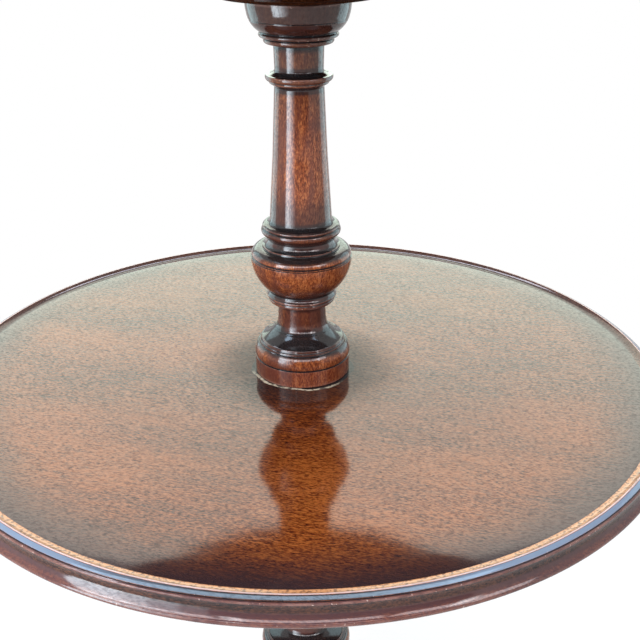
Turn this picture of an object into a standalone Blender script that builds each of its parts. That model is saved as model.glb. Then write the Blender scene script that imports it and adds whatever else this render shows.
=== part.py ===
"""Two-tier dumbwaiter table.

Two dished mahogany tiers turn on iron spindles at the ends of a turned stem.
The stem stands on three downswept legs with brass cap castors.
The frame's origin is on the floor under the stem's axis, with +Z up, in metres.
"""

import math

import bmesh
import bpy
from mathutils import Matrix, Vector

MM = 0.001

# Overall sizes
LOWER_TIER_DIAMETER = 610 * MM
UPPER_TIER_DIAMETER = 440 * MM
LOWER_FIELD_HEIGHT = 500 * MM
UPPER_STEM_HEIGHT = 303 * MM
UPPER_STEM_RADIUS = 40 * MM
LOWER_STEM_RADIUS = 43 * MM

# Clearances between pieces that are seated, and between pieces that turn
SEAT_GAP = 0.3 * MM
RUNNING_GAP = 0.3 * MM
OVERRUN = 2 * MM

# Tier boards: the field is the flat serving surface inside the raised rim
BOARD_THICKNESS = 17 * MM
RIM_RISE = 3.4 * MM
RIM_WIDTH = 16.5 * MM

# Turned bosses that stiffen each board and turn on the spindles
BOSS_RADIUS = 63 * MM
BOSS_THICKNESS = 26 * MM
BOSS_SCREW_HEAD_RADIUS = 4 * MM
BOSS_SCREW_SHANK_RADIUS = 2.2 * MM
BOSS_SCREW_BITE = 10 * MM
BOSS_SCREW_SINK = 3 * MM

# Spindles, their bushes and washers
SPINDLE_RADIUS = 8 * MM
SPINDLE_GRIP = 42 * MM
BUSH_WALL = 2 * MM
THRUST_WASHER_RADIUS = 20 * MM
THRUST_WASHER_THICKNESS = 1.2 * MM
NUT_RADIUS = 14 * MM
NUT_THICKNESS = 6 * MM
NUT_WASHER_THICKNESS = 1.5 * MM
NUT_WASHER_OVERHANG = 1.5 * MM
NUT_POCKET_CLEARANCE = 3 * MM
NUT_POCKET_HEADROOM = 2.9 * MM
SPINDLE_END_STANDS_PROUD = 1 * MM

# Leg block at the foot of the lower stem, and the legs housed in it
LEG_BLOCK_BOTTOM = 105 * MM
LEG_BLOCK_HEIGHT = 80 * MM
LEG_ROOT_HEIGHT = 74 * MM
LEG_ROOT_WIDTH = 30 * MM
LEG_TOE_WIDTH = 22 * MM
LEG_TOE_HEIGHT = 22 * MM
CASTOR_CIRCLE_RADIUS = 264 * MM
KEY_DEPTH = 15 * MM
KEY_NECK_WIDTH = 10 * MM
KEY_BACK_WIDTH = 15 * MM
KEY_STOP = 8 * MM

# Iron plate that ties the legs to the block from below
PLATE_THICKNESS = 3 * MM
PLATE_ARM_WIDTH = 20 * MM
PLATE_REACH = 32 * MM
PLATE_END_MARGIN = 12 * MM
PLATE_SCREW_HEAD_RADIUS = 4 * MM
PLATE_SCREW_SHANK_RADIUS = 2 * MM
PLATE_SCREW_BITE = 16 * MM

# Castors
WHEEL_RADIUS = 14 * MM
WHEEL_WIDTH = 9 * MM
AXLE_RADIUS = 2 * MM
AXLE_HEAD_RADIUS = 3.2 * MM
AXLE_HEAD_THICKNESS = 1.2 * MM
CASTOR_TRAIL = 10 * MM
CHEEK_THICKNESS = 2 * MM
CHEEK_EYE_RADIUS = 5 * MM
WHEEL_SIDE_GAP = 0.5 * MM
PINTLE_RADIUS = 3 * MM
PINTLE_HEAD_THICKNESS = 2 * MM
PINTLE_HEAD_TO_WHEEL = 1.2 * MM
CROWN_THICKNESS = 3 * MM
CROWN_RADIUS = 8 * MM
CAP_WALL = 1.5 * MM
CAP_LENGTH = 38 * MM
CAP_BOSS_RADIUS = 8 * MM
CAP_BOSS_HEIGHT = 4 * MM
CAP_SCREW_HEAD_RADIUS = 3.2 * MM
CAP_SCREW_HEAD_HEIGHT = 1.4 * MM
CAP_SCREW_SHANK_RADIUS = 1.6 * MM
CAP_SCREW_BITE = 9 * MM

# Facets round each kind of turned piece
BOARD_SIDES = 60
STEM_SIDES = 24
BOSS_SIDES = 24
WHEEL_SIDES = 20
FITTING_SIDES = 16
SCREW_SIDES = 8
NUT_SIDES = 6
PLATE_END_FACETS = 4
PLATE_HUB_FACETS = 4
EYE_FACETS = 6
DOME_FACETS = 3

LEG_ANGLES = {"back": 90, "right": -30, "left": 210}
BOSS_SCREW_COUNT = 4
LEG_STATIONS = 10
SHARP_ANGLE = math.radians(32)

# Outline of the stem's turning, from its plinth up: radius as a share of the plinth's,
# height as a share of the stem's, bow of the stretch that ends there as a share of its
# chord (over zero swells out, under zero is hollow), and its number of straight facets.
STEM_OUTLINE_SHARES = (
    # plinth band and the quirk over it
    (1.000, 0.000, 0.00, 1),
    (1.000, 0.046, 0.00, 1),
    (0.977, 0.047, 0.00, 1),
    (0.998, 0.051, 0.00, 1),
    # rounded shoulder and its step
    (0.935, 0.087, 0.12, 2),
    (0.905, 0.088, 0.00, 1),
    (0.838, 0.102, 0.00, 1),
    # hollow slope into the lower neck
    (0.600, 0.127, -0.05, 1),
    (0.500, 0.148, -0.10, 2),
    (0.485, 0.180, -0.02, 1),
    (0.510, 0.208, -0.03, 1),
    # bead and ring under the bulb
    (0.640, 0.210, 0.00, 1),
    (0.680, 0.219, 0.25, 2),
    (0.705, 0.224, 0.00, 1),
    (0.710, 0.231, 0.20, 1),
    (0.672, 0.243, -0.10, 1),
    # bowl of the bulb, its groove and the quarter round over it
    (0.690, 0.246, 0.00, 1),
    (1.037, 0.341, 0.105, 4),
    (1.018, 0.343, 0.00, 1),
    (1.025, 0.348, 0.00, 1),
    (0.830, 0.368, 0.18, 3),
    (0.795, 0.368, 0.00, 1),
    # hollow between bulb and collar
    (0.790, 0.373, 0.00, 1),
    (0.700, 0.391, -0.15, 2),
    # collar of two beads under the long taper
    (0.780, 0.406, -0.08, 1),
    (0.785, 0.421, 0.22, 3),
    (0.765, 0.431, 0.20, 2),
    (0.745, 0.432, 0.00, 1),
    (0.630, 0.441, -0.15, 2),
    # long taper, drawn in very slightly
    (0.483, 0.788, -0.005, 2),
    # ring over the taper
    (0.520, 0.797, -0.15, 1),
    (0.560, 0.800, 0.00, 1),
    (0.575, 0.807, 0.20, 1),
    (0.620, 0.808, 0.00, 1),
    (0.640, 0.822, 0.20, 3),
    (0.490, 0.829, -0.12, 1),
    # upper neck
    (0.470, 0.837, -0.10, 1),
    (0.482, 0.894, 0.00, 1),
    # two beads under the cup
    (0.620, 0.898, 0.00, 1),
    (0.665, 0.909, 0.25, 2),
    (0.715, 0.912, 0.00, 1),
    (0.748, 0.923, 0.30, 2),
    (0.737, 0.926, 0.00, 1),
    # cup
    (0.935, 0.956, 0.07, 3),
    (0.995, 1.000, 0.04, 2),
)

# Outline of a board's edge, from the field over the rim to the underside: distance in
# from the outer edge as a share of the rim's width, height over the field as a share of
# the rim's rise (under it, of the board's thickness), bow and facets as above.
RIM_OUTLINE_SHARES = (
    (1.000, 0.00, 0.00, 1),
    (0.520, 0.96, -0.12, 2),
    (0.240, 0.38, 0.20, 2),
    (0.255, 0.16, 0.00, 1),
    (0.145, 0.10, 0.00, 1),
    (0.135, -0.06, 0.00, 1),
    (0.220, -0.09, 0.00, 1),
    (0.070, -0.76, -0.14, 2),
    (0.000, -0.88, 0.00, 1),
    (0.060, -1.00, 0.00, 1),
)

# Outline of a boss: flat where it rests on the stem, then sloping up to its rounded edge
BOSS_OUTLINE_SHARES = (
    (0.690, 0.000, 0.00, 1),
    (0.945, 0.095, 0.00, 1),
    (1.000, 0.180, 0.14, 1),
    (1.000, 0.840, 0.00, 1),
    (0.965, 1.000, 0.14, 1),
)

# Section of a leg: half its width, and its height from the lower edge to the upper
LEG_SECTION_SHARES = (
    (1.00, 0.00),
    (1.00, 0.74),
    (0.88, 0.93),
    (0.60, 1.00),
    (-0.60, 1.00),
    (-0.88, 0.93),
    (-1.00, 0.74),
    (-1.00, 0.00),
)
# How late the upper edge of a leg drops: 1 is an even sweep
LEG_CREST_POWER = 1.2
COPE_SHARE = 0.15
HEAD_DEPTH_SHARE = 0.6
TIP_SHARE = 0.8
DOME_BOW_SHARE = 0.15
BLOCK_SCREW_CIRCLE_SHARE = 0.62
TREAD_EDGE_SHARE = 0.93
TREAD_WIDTH_SHARE = 0.7
HUB_SHARE = 0.45
SPINDLE_CHAMFER_SHARE = 0.85


def clear_scene():
    for thing in list(bpy.data.objects):
        bpy.data.objects.remove(thing)


def make_material(name, colour, roughness, metallic):
    material = bpy.data.materials.new(name)
    material.use_nodes = True
    shader = material.node_tree.nodes["Principled BSDF"]
    shader.inputs["Base Color"].default_value = (*colour, 1)
    shader.inputs["Roughness"].default_value = roughness
    shader.inputs["Metallic"].default_value = metallic
    return material


def mahogany(name):
    return make_material(name, (0.19, 0.055, 0.022), 0.22, 0.0)


def brass(name):
    return make_material(name, (0.60, 0.42, 0.17), 0.32, 1.0)


def iron(name):
    return make_material(name, (0.09, 0.085, 0.08), 0.5, 1.0)


def arc(start, end, bow, facets):
    """The points after start, up to end, of an arc that bows to the right of its chord."""
    if bow == 0 or facets == 1:
        return [end]
    across = Vector((end[0] - start[0], end[1] - start[1]))
    aside = Vector((across.y, -across.x))
    middle = Vector(start) + across / 2
    half_turn = 2 * math.atan(2 * abs(bow))
    radius = across.length / (2 * math.sin(half_turn))
    side = math.copysign(1, bow)
    centre = middle - aside.normalized() * side * radius * math.cos(half_turn)
    points = []
    for step in range(1, facets):
        angle = half_turn * (2 * step / facets - 1)
        along = across.normalized() * math.sin(angle) * radius
        outward = aside.normalized() * side * math.cos(angle) * radius
        points.append(tuple(centre + along + outward))
    return points + [end]


def outline_of(rows):
    """The points of an outline of (radius, height, bow, facets) rows."""
    points = [rows[0][:2]]
    for radius, height, bow, facets in rows[1:]:
        points += arc(points[-1], (radius, height), bow, facets)
    return points


def add_turning(mesh, outline, sides, place=Matrix()):
    """Add the solid that an outline makes round +Z. One that starts off the axis is a ring."""
    rings = []
    for radius, height in outline:
        corners = sides if radius > 0 else 1
        ring = []
        for corner in range(corners):
            angle = 2 * math.pi * corner / sides
            point = Vector((radius * math.cos(angle), radius * math.sin(angle), height))
            ring.append(mesh.verts.new(place @ point))
        rings.append(ring)
    if outline[0][0] > 0:
        rings.append(rings[0])
    for lower, upper in zip(rings, rings[1:]):
        for corner in range(sides):
            after = (corner + 1) % sides
            if len(lower) == 1:
                mesh.faces.new((lower[0], upper[after], upper[corner]))
            elif len(upper) == 1:
                mesh.faces.new((lower[corner], lower[after], upper[0]))
            else:
                quad = (lower[corner], lower[after], upper[after], upper[corner])
                mesh.faces.new(quad)


def add_loft(mesh, sections):
    """Add the solid through a row of sections that have as many points each."""
    rings = [[mesh.verts.new(point) for point in section] for section in sections]
    for lower, upper in zip(rings, rings[1:]):
        for corner, vertex in enumerate(lower):
            after = (corner + 1) % len(lower)
            mesh.faces.new((vertex, lower[after], upper[after], upper[corner]))
    mesh.faces.new(rings[0])
    mesh.faces.new(rings[-1])


def add_box(mesh, low, high):
    """Add a box between two corners."""
    corners = ((low[0], low[1]), (high[0], low[1]), (high[0], high[1]), (low[0], high[1]))
    add_loft(mesh, [[(x, y, z) for x, y in corners] for z in (low[2], high[2])])


def add_rod(mesh, radius, low, high, sides=FITTING_SIDES, place=Matrix()):
    outline = [(0, low), (radius, low), (radius, high), (0, high)]
    add_turning(mesh, outline, sides, place)


def finish(name, mesh, material=None, parent=None, location=(0, 0, 0)):
    """Turn a bmesh into an object. One without a material is a cutter."""
    bmesh.ops.recalc_face_normals(mesh, faces=mesh.faces)
    data = bpy.data.meshes.new(name)
    mesh.to_mesh(data)
    mesh.free()
    data.shade_smooth()
    data.set_sharp_from_angle(angle=SHARP_ANGLE)
    thing = bpy.data.objects.new(name, data)
    bpy.context.scene.collection.objects.link(thing)
    thing.parent = parent
    thing.location = location
    if material:
        data.materials.append(material)
    else:
        thing.hide_render = True
        thing.display_type = "WIRE"
    return thing


def empty(name, parent=None, location=(0, 0, 0), turn=0):
    thing = bpy.data.objects.new(name, None)
    bpy.context.scene.collection.objects.link(thing)
    thing.parent = parent
    thing.location = location
    thing.rotation_euler.z = turn
    return thing


def combine(thing, other, operation="DIFFERENCE"):
    modifier = thing.modifiers.new(other.name, "BOOLEAN")
    modifier.operation = operation
    modifier.object = other
    modifier.solver = "EXACT"


def screw_outline(head, shank, plate, bite, gap=0):
    """Outline of a countersunk screw that points up: its head lies flush at height zero."""
    head_depth = (head - shank) * HEAD_DEPTH_SHARE
    length = plate + bite
    outline = [(0, 0), (head + gap, 0), (shank + gap, head_depth)]
    outline += [(shank + gap, length * TIP_SHARE), (0, length + gap)]
    if gap:
        outline[1:1] = [(head + gap, -OVERRUN)]
        outline[0] = (0, -OVERRUN)
    return outline


def tier_heights(field):
    """Heights of a tier's underside, of its boss and of the stem that carries it."""
    underside = field - BOARD_THICKNESS
    boss_top = underside - SEAT_GAP
    boss_bottom = boss_top - BOSS_THICKNESS
    stem_top = boss_bottom - RUNNING_GAP - SEAT_GAP
    return underside, boss_top, boss_bottom, stem_top


# Heights and radii up the stem that follow from the sizes above
UPPER_STEM_BOTTOM = LOWER_FIELD_HEIGHT + RUNNING_GAP
UPPER_STEM_TOP = UPPER_STEM_BOTTOM + UPPER_STEM_HEIGHT
UPPER_FIELD_HEIGHT = (
    UPPER_STEM_TOP
    + SEAT_GAP
    + RUNNING_GAP
    + BOSS_THICKNESS
    + SEAT_GAP
    + BOARD_THICKNESS
)
BUSH_RADIUS = SPINDLE_RADIUS + RUNNING_GAP + BUSH_WALL
BUSH_HOLE_RADIUS = BUSH_RADIUS + SEAT_GAP
SPINDLE_HOLE_RADIUS = SPINDLE_RADIUS + SEAT_GAP
NUT_POCKET_RADIUS = NUT_RADIUS + NUT_WASHER_OVERHANG + NUT_POCKET_CLEARANCE
NUT_STACK = NUT_WASHER_THICKNESS + SEAT_GAP + NUT_THICKNESS + SPINDLE_END_STANDS_PROUD
NUT_POCKET_DEPTH = RUNNING_GAP + NUT_STACK + NUT_POCKET_HEADROOM
CUP_RADIUS = max(LOWER_STEM_RADIUS, UPPER_STEM_RADIUS)
BOSS_SCREW_CIRCLE = (CUP_RADIUS + BOSS_RADIUS) / 2

# Heights up through a castor and its cap to the leg's toe
CROWN_BOTTOM = (
    2 * WHEEL_RADIUS + PINTLE_HEAD_TO_WHEEL + PINTLE_HEAD_THICKNESS + RUNNING_GAP
)
CROWN_TOP = CROWN_BOTTOM + CROWN_THICKNESS
CAP_BOSS_BOTTOM = CROWN_TOP + RUNNING_GAP
CAP_BOTTOM = CAP_BOSS_BOTTOM + CAP_BOSS_HEIGHT
TOE_BOTTOM = CAP_BOTTOM + CAP_WALL + SEAT_GAP
TOE_TOP = TOE_BOTTOM + LEG_TOE_HEIGHT
CAP_TOP = TOE_TOP + SEAT_GAP + CAP_WALL
CAP_OUTER_END = CASTOR_CIRCLE_RADIUS + CAP_LENGTH / 2
TOE_END = CAP_OUTER_END - CAP_WALL - SEAT_GAP
TOE_START = CASTOR_CIRCLE_RADIUS - CAP_LENGTH / 2 - CAP_WALL
CHEEK_INSIDE = WHEEL_WIDTH / 2 + WHEEL_SIDE_GAP
CHEEK_OUTSIDE = CHEEK_INSIDE + CHEEK_THICKNESS
PINTLE_HEAD_RADIUS = CHEEK_INSIDE - RUNNING_GAP
LEG_ROOT_TOP = LEG_BLOCK_BOTTOM + LEG_ROOT_HEIGHT
LEG_RUN = TOE_START - LOWER_STEM_RADIUS
LEG_FLAT_SHARE = (PLATE_REACH + PLATE_END_MARGIN) / LEG_RUN
PLATE_TOP = LEG_BLOCK_BOTTOM - SEAT_GAP
PLATE_BOTTOM = PLATE_TOP - PLATE_THICKNESS
PLATE_SCREW_CIRCLE = LOWER_STEM_RADIUS + PLATE_REACH / 2
BLOCK_SCREW_CIRCLE = LOWER_STEM_RADIUS * BLOCK_SCREW_CIRCLE_SHARE
HALF_LEG_SPACING = math.pi / len(LEG_ANGLES)


def stem_outline(radius, bottom, height):
    """The turned outline of a stem between its plinth's foot and its cup's rim."""
    rows = []
    for out, up, bow, facets in STEM_OUTLINE_SHARES:
        rows.append((out * radius, bottom + up * height, bow, facets))
    return outline_of(rows)


def top_bore(stem_top):
    """Outline of the washer's seat and the spindle's hole in a stem's top, from the rim in."""
    return [
        (THRUST_WASHER_RADIUS + SEAT_GAP, stem_top),
        (THRUST_WASHER_RADIUS + SEAT_GAP, stem_top - THRUST_WASHER_THICKNESS),
        (SPINDLE_HOLE_RADIUS, stem_top - THRUST_WASHER_THICKNESS),
        (SPINDLE_HOLE_RADIUS, stem_top - SPINDLE_GRIP - SEAT_GAP),
        (0, stem_top - SPINDLE_GRIP - SEAT_GAP),
    ]


def build_lower_stem(stem_top):
    """The lower stem runs down into the plain leg block, whose slots take the legs' keys."""
    turning_bottom = LEG_BLOCK_BOTTOM + LEG_BLOCK_HEIGHT
    turned = stem_outline(LOWER_STEM_RADIUS, turning_bottom, stem_top - turning_bottom)
    outline = [(0, LEG_BLOCK_BOTTOM), (LOWER_STEM_RADIUS, LEG_BLOCK_BOTTOM)]
    outline += turned[1:] + top_bore(stem_top)
    mesh = bmesh.new()
    add_turning(mesh, outline, STEM_SIDES)
    stem = finish("lower_stem", mesh, mahogany("lower_stem_mahogany"))
    cutter = bmesh.new()
    for degrees in LEG_ANGLES.values():
        turn = Matrix.Rotation(math.radians(degrees), 4, "Z")
        sections = key_sections(SEAT_GAP, LEG_BLOCK_BOTTOM - OVERRUN)
        add_loft(cutter, [[turn @ Vector(point) for point in ring] for ring in sections])
        half_way = turn @ Matrix.Rotation(HALF_LEG_SPACING, 4, "Z")
        place = half_way @ Matrix.Translation((BLOCK_SCREW_CIRCLE, 0, PLATE_BOTTOM))
        add_turning(cutter, plate_screw_outline(SEAT_GAP), SCREW_SIDES, place)
    combine(stem, finish("leg_block_cutter", cutter))


def build_upper_stem():
    outline = [
        (0, UPPER_STEM_BOTTOM + SPINDLE_GRIP + SEAT_GAP),
        (SPINDLE_HOLE_RADIUS, UPPER_STEM_BOTTOM + SPINDLE_GRIP + SEAT_GAP),
        (SPINDLE_HOLE_RADIUS, UPPER_STEM_BOTTOM),
    ]
    outline += stem_outline(UPPER_STEM_RADIUS, UPPER_STEM_BOTTOM, UPPER_STEM_HEIGHT)
    outline += top_bore(UPPER_STEM_TOP)
    mesh = bmesh.new()
    add_turning(mesh, outline, STEM_SIDES)
    finish("upper_stem", mesh, mahogany("upper_stem_mahogany"))


def board_outline(radius, hole, underside, field):
    """A board's outline from the axis, or from its hole, over the rim and back."""
    rows = []
    for inward, up, bow, facets in RIM_OUTLINE_SHARES:
        rise = RIM_RISE if up > 0 else BOARD_THICKNESS
        rows.append((radius - inward * RIM_WIDTH, field + up * rise, bow, facets))
    # The outline runs down its outer side, so each bow is turned to the other hand.
    rows = [(out, up, -bow, facets) for out, up, bow, facets in rows]
    edge = [(hole, field)] + outline_of(rows)
    return edge + [(hole, underside)]


def boss_outline(hole, pocket_depth, boss_bottom):
    """A boss's outline, with a pocket for the nut in its top where that has a depth."""
    top = boss_bottom + BOSS_THICKNESS
    rows = []
    for out, up, bow, facets in BOSS_OUTLINE_SHARES:
        height = boss_bottom + up * BOSS_THICKNESS
        rows.append((out * BOSS_RADIUS, height, bow, facets))
    outline = [(hole, boss_bottom)] + outline_of(rows)
    if not pocket_depth:
        return outline + [(hole, top)]
    floor = top - pocket_depth
    pocket = [(NUT_POCKET_RADIUS, top), (NUT_POCKET_RADIUS, floor), (hole, floor)]
    return outline + pocket


def build_tier(name, diameter, field, through):
    """A tier: board, boss, bush and the screws that hold the boss up to the board."""
    underside, boss_top, boss_bottom, _ = tier_heights(field)
    mesh = bmesh.new()
    board_hole = BUSH_HOLE_RADIUS if through else 0
    outline = board_outline(diameter / 2, board_hole, underside, field)
    add_turning(mesh, outline, BOARD_SIDES)
    board = finish(name + "_board", mesh, mahogany(name + "_board_mahogany"))

    mesh = bmesh.new()
    pocket_depth = 0 if through else NUT_POCKET_DEPTH
    outline = boss_outline(BUSH_HOLE_RADIUS, pocket_depth, boss_bottom)
    add_turning(mesh, outline, BOSS_SIDES)
    boss = finish(name + "_boss", mesh, mahogany(name + "_boss_mahogany"))

    bush_top = field - SEAT_GAP if through else boss_top - pocket_depth
    inside = SPINDLE_RADIUS + RUNNING_GAP
    mesh = bmesh.new()
    outline = [(inside, boss_bottom), (BUSH_RADIUS, boss_bottom)]
    outline += [(BUSH_RADIUS, bush_top), (inside, bush_top)]
    add_turning(mesh, outline, FITTING_SIDES)
    finish(name + "_bush", mesh, brass(name + "_bush_brass"))

    cutter = bmesh.new()
    sizes = (BOSS_SCREW_HEAD_RADIUS, BOSS_SCREW_SHANK_RADIUS)
    head_height = boss_bottom + BOSS_SCREW_SINK
    depth = underside - head_height
    for number in range(BOSS_SCREW_COUNT):
        angle = 2 * math.pi * (number + 1 / 2) / BOSS_SCREW_COUNT
        x = BOSS_SCREW_CIRCLE * math.cos(angle)
        y = BOSS_SCREW_CIRCLE * math.sin(angle)
        hole = screw_outline(*sizes, depth, BOSS_SCREW_BITE, SEAT_GAP)
        low = -BOSS_SCREW_SINK - OVERRUN
        hole[:2] = [(0, low), (hole[1][0], low)]
        place = Matrix.Translation((x, y, head_height))
        add_turning(cutter, hole, SCREW_SIDES, place)
        mesh = bmesh.new()
        outline = screw_outline(*sizes, depth, BOSS_SCREW_BITE)
        add_turning(mesh, outline, SCREW_SIDES)
        screw = f"{name}_boss_screw_{number + 1}"
        finish(screw, mesh, iron(screw + "_iron"), location=(x, y, head_height))
    holes = finish(name + "_screw_hole_cutter", cutter)
    combine(board, holes)
    combine(boss, holes)


def build_washer(name, outside, bottom, thickness):
    mesh = bmesh.new()
    inside = SPINDLE_HOLE_RADIUS
    top = bottom + thickness
    outline = [(inside, bottom), (outside, bottom), (outside, top), (inside, top)]
    add_turning(mesh, outline, FITTING_SIDES)
    finish(name, mesh, brass(name + "_brass"))


def build_spindle(name, bottom, top):
    mesh = bmesh.new()
    small = SPINDLE_RADIUS * SPINDLE_CHAMFER_SHARE
    chamfer = SPINDLE_RADIUS - small
    outline = [(0, bottom), (small, bottom), (SPINDLE_RADIUS, bottom + chamfer)]
    outline += [(SPINDLE_RADIUS, top - chamfer), (small, top), (0, top)]
    add_turning(mesh, outline, FITTING_SIDES)
    finish(name, mesh, iron(name + "_iron"))


def build_pivots(lower_stem_top):
    """Spindles through both tiers, their thrust washers, and the nut in the upper boss."""
    for name, stem_top in (("lower", lower_stem_top), ("upper", UPPER_STEM_TOP)):
        bottom = stem_top - THRUST_WASHER_THICKNESS + SEAT_GAP
        washer = name + "_thrust_washer"
        build_washer(washer, THRUST_WASHER_RADIUS, bottom, THRUST_WASHER_THICKNESS)
    spindle_top = UPPER_STEM_BOTTOM + SPINDLE_GRIP
    build_spindle("lower_spindle", lower_stem_top - SPINDLE_GRIP, spindle_top)

    boss_top = tier_heights(UPPER_FIELD_HEIGHT)[1]
    washer_bottom = boss_top - NUT_POCKET_DEPTH + RUNNING_GAP
    outside = NUT_RADIUS + NUT_WASHER_OVERHANG
    build_washer("nut_washer", outside, washer_bottom, NUT_WASHER_THICKNESS)
    nut_bottom = washer_bottom + NUT_WASHER_THICKNESS + SEAT_GAP
    nut_top = nut_bottom + NUT_THICKNESS
    spindle_top = nut_top + SPINDLE_END_STANDS_PROUD
    build_spindle("upper_spindle", UPPER_STEM_TOP - SPINDLE_GRIP, spindle_top)
    mesh = bmesh.new()
    add_loft(mesh, [nut_section(z) for z in (nut_bottom, nut_top)])
    nut = finish("spindle_nut", mesh, iron("spindle_nut_iron"))
    mesh = bmesh.new()
    add_rod(mesh, SPINDLE_HOLE_RADIUS, nut_bottom - OVERRUN, nut_top + OVERRUN)
    combine(nut, finish("nut_bore_cutter", mesh))


def nut_section(height):
    points = []
    for corner in range(NUT_SIDES):
        angle = 2 * math.pi * corner / NUT_SIDES
        across = (NUT_RADIUS * math.cos(angle), NUT_RADIUS * math.sin(angle))
        points.append((*across, height))
    return points


def key_sections(gap, bottom):
    """The dovetail key on a leg's root, from below up, grown by a gap to cut its slot."""
    neck = KEY_NECK_WIDTH / 2 + gap
    back = KEY_BACK_WIDTH / 2 + gap
    inner = LOWER_STEM_RADIUS - KEY_DEPTH - gap
    outer = LOWER_STEM_RADIUS + LOWER_STEM_RADIUS * COPE_SHARE
    slope = (back - neck) / KEY_DEPTH
    mouth = neck - slope * (outer - LOWER_STEM_RADIUS)
    plan = [(inner, -back), (outer, -mouth), (outer, mouth), (inner, back)]
    top = LEG_ROOT_TOP - KEY_STOP + gap
    return [[(x, y, z) for x, y in plan] for z in (bottom, top)]


def leg_edge(share, flat, power=1):
    """How far a leg's edge still stands over the toe, as a share, along the leg's run."""
    if share <= flat:
        return 1
    along = min((share - flat) / (1 - flat), 1)
    return (1 + math.cos(math.pi * along**power)) / 2


def leg_section(x, share):
    """The section of a leg at a distance x from the axis."""
    upper = TOE_TOP + (LEG_ROOT_TOP - TOE_TOP) * leg_edge(share, 0, LEG_CREST_POWER)
    over = leg_edge(share, LEG_FLAT_SHARE)
    lower = TOE_BOTTOM + (LEG_BLOCK_BOTTOM - TOE_BOTTOM) * over
    width = LEG_ROOT_WIDTH + (LEG_TOE_WIDTH - LEG_ROOT_WIDTH) * min(share, 1)
    points = []
    for out, up in LEG_SECTION_SHARES:
        points.append((x, out * width / 2, lower + up * (upper - lower)))
    return points


def plate_screw_outline(gap=0):
    head = PLATE_SCREW_HEAD_RADIUS
    shank = PLATE_SCREW_SHANK_RADIUS
    return screw_outline(head, shank, PLATE_THICKNESS, PLATE_SCREW_BITE, gap)


def build_leg(place_name, frame):
    """A leg, coped to the round block, with its key in the block and its toe in the cap."""
    root = LOWER_STEM_RADIUS * (1 - COPE_SHARE)
    sections = [leg_section(root, 0)]
    for station in range(LEG_STATIONS + 1):
        share = station / LEG_STATIONS
        sections.append(leg_section(LOWER_STEM_RADIUS + share * LEG_RUN, share))
    sections.append(leg_section(TOE_END, 1))
    mesh = bmesh.new()
    add_loft(mesh, sections)
    name = "leg_" + place_name
    leg = finish(name, mesh, mahogany(name + "_mahogany"), frame)

    mesh = bmesh.new()
    low = LEG_BLOCK_BOTTOM - OVERRUN
    high = LEG_ROOT_TOP + OVERRUN
    add_rod(mesh, LOWER_STEM_RADIUS + SEAT_GAP, low, high, STEM_SIDES)
    combine(leg, finish(name + "_cope_cutter", mesh, parent=frame))

    mesh = bmesh.new()
    add_loft(mesh, key_sections(0, LEG_BLOCK_BOTTOM + SEAT_GAP))
    key = finish(name + "_key", mesh, parent=frame)
    combine(leg, key, "UNION")

    mesh = bmesh.new()
    place = Matrix.Translation((PLATE_SCREW_CIRCLE, 0, PLATE_BOTTOM))
    add_turning(mesh, plate_screw_outline(SEAT_GAP), SCREW_SIDES, place)
    bottom = TOE_TOP - CAP_SCREW_BITE - SEAT_GAP
    place = Matrix.Translation((CASTOR_CIRCLE_RADIUS, 0, 0))
    shank = CAP_SCREW_SHANK_RADIUS + SEAT_GAP
    add_rod(mesh, shank, bottom, TOE_TOP + OVERRUN, SCREW_SIDES, place)
    combine(leg, finish(name + "_screw_hole_cutter", mesh, parent=frame))


def build_leg_plate():
    """A three-armed plate with round arm ends, and the screws up through it."""
    half = PLATE_ARM_WIDTH / 2
    hub = LOWER_STEM_RADIUS - SEAT_GAP
    lean = math.asin(half / hub)
    reach = LOWER_STEM_RADIUS + PLATE_REACH - half
    between_arms = 2 * (HALF_LEG_SPACING - lean)
    plan = []
    for degrees in sorted(LEG_ANGLES.values()):
        turn = Matrix.Rotation(math.radians(degrees), 2)
        arm = [(hub * math.cos(lean), -half)]
        for step in range(PLATE_END_FACETS + 1):
            angle = math.pi * (step / PLATE_END_FACETS - 1 / 2)
            arm.append((reach + half * math.cos(angle), half * math.sin(angle)))
        arm.append((hub * math.cos(lean), half))
        for step in range(1, PLATE_HUB_FACETS):
            angle = lean + between_arms * step / PLATE_HUB_FACETS
            arm.append((hub * math.cos(angle), hub * math.sin(angle)))
        plan += [turn @ Vector(point) for point in arm]
    mesh = bmesh.new()
    heights = (PLATE_BOTTOM, PLATE_TOP)
    add_loft(mesh, [[(point.x, point.y, z) for point in plan] for z in heights])
    plate = finish("leg_plate", mesh, iron("leg_plate_iron"))

    cutter = bmesh.new()
    for place_name, degrees in LEG_ANGLES.items():
        turn = math.radians(degrees)
        spots = {
            "leg_plate_screw_" + place_name: (PLATE_SCREW_CIRCLE, turn),
            "block_screw_" + place_name: (BLOCK_SCREW_CIRCLE, turn + HALF_LEG_SPACING),
        }
        for name, (out, angle) in spots.items():
            spot = (out * math.cos(angle), out * math.sin(angle), PLATE_BOTTOM)
            place = Matrix.Translation(spot)
            add_turning(cutter, plate_screw_outline(SEAT_GAP), SCREW_SIDES, place)
            mesh = bmesh.new()
            add_turning(mesh, plate_screw_outline(), SCREW_SIDES)
            finish(name, mesh, iron(name + "_iron"), location=spot)
    combine(plate, finish("plate_hole_cutter", cutter))


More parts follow.
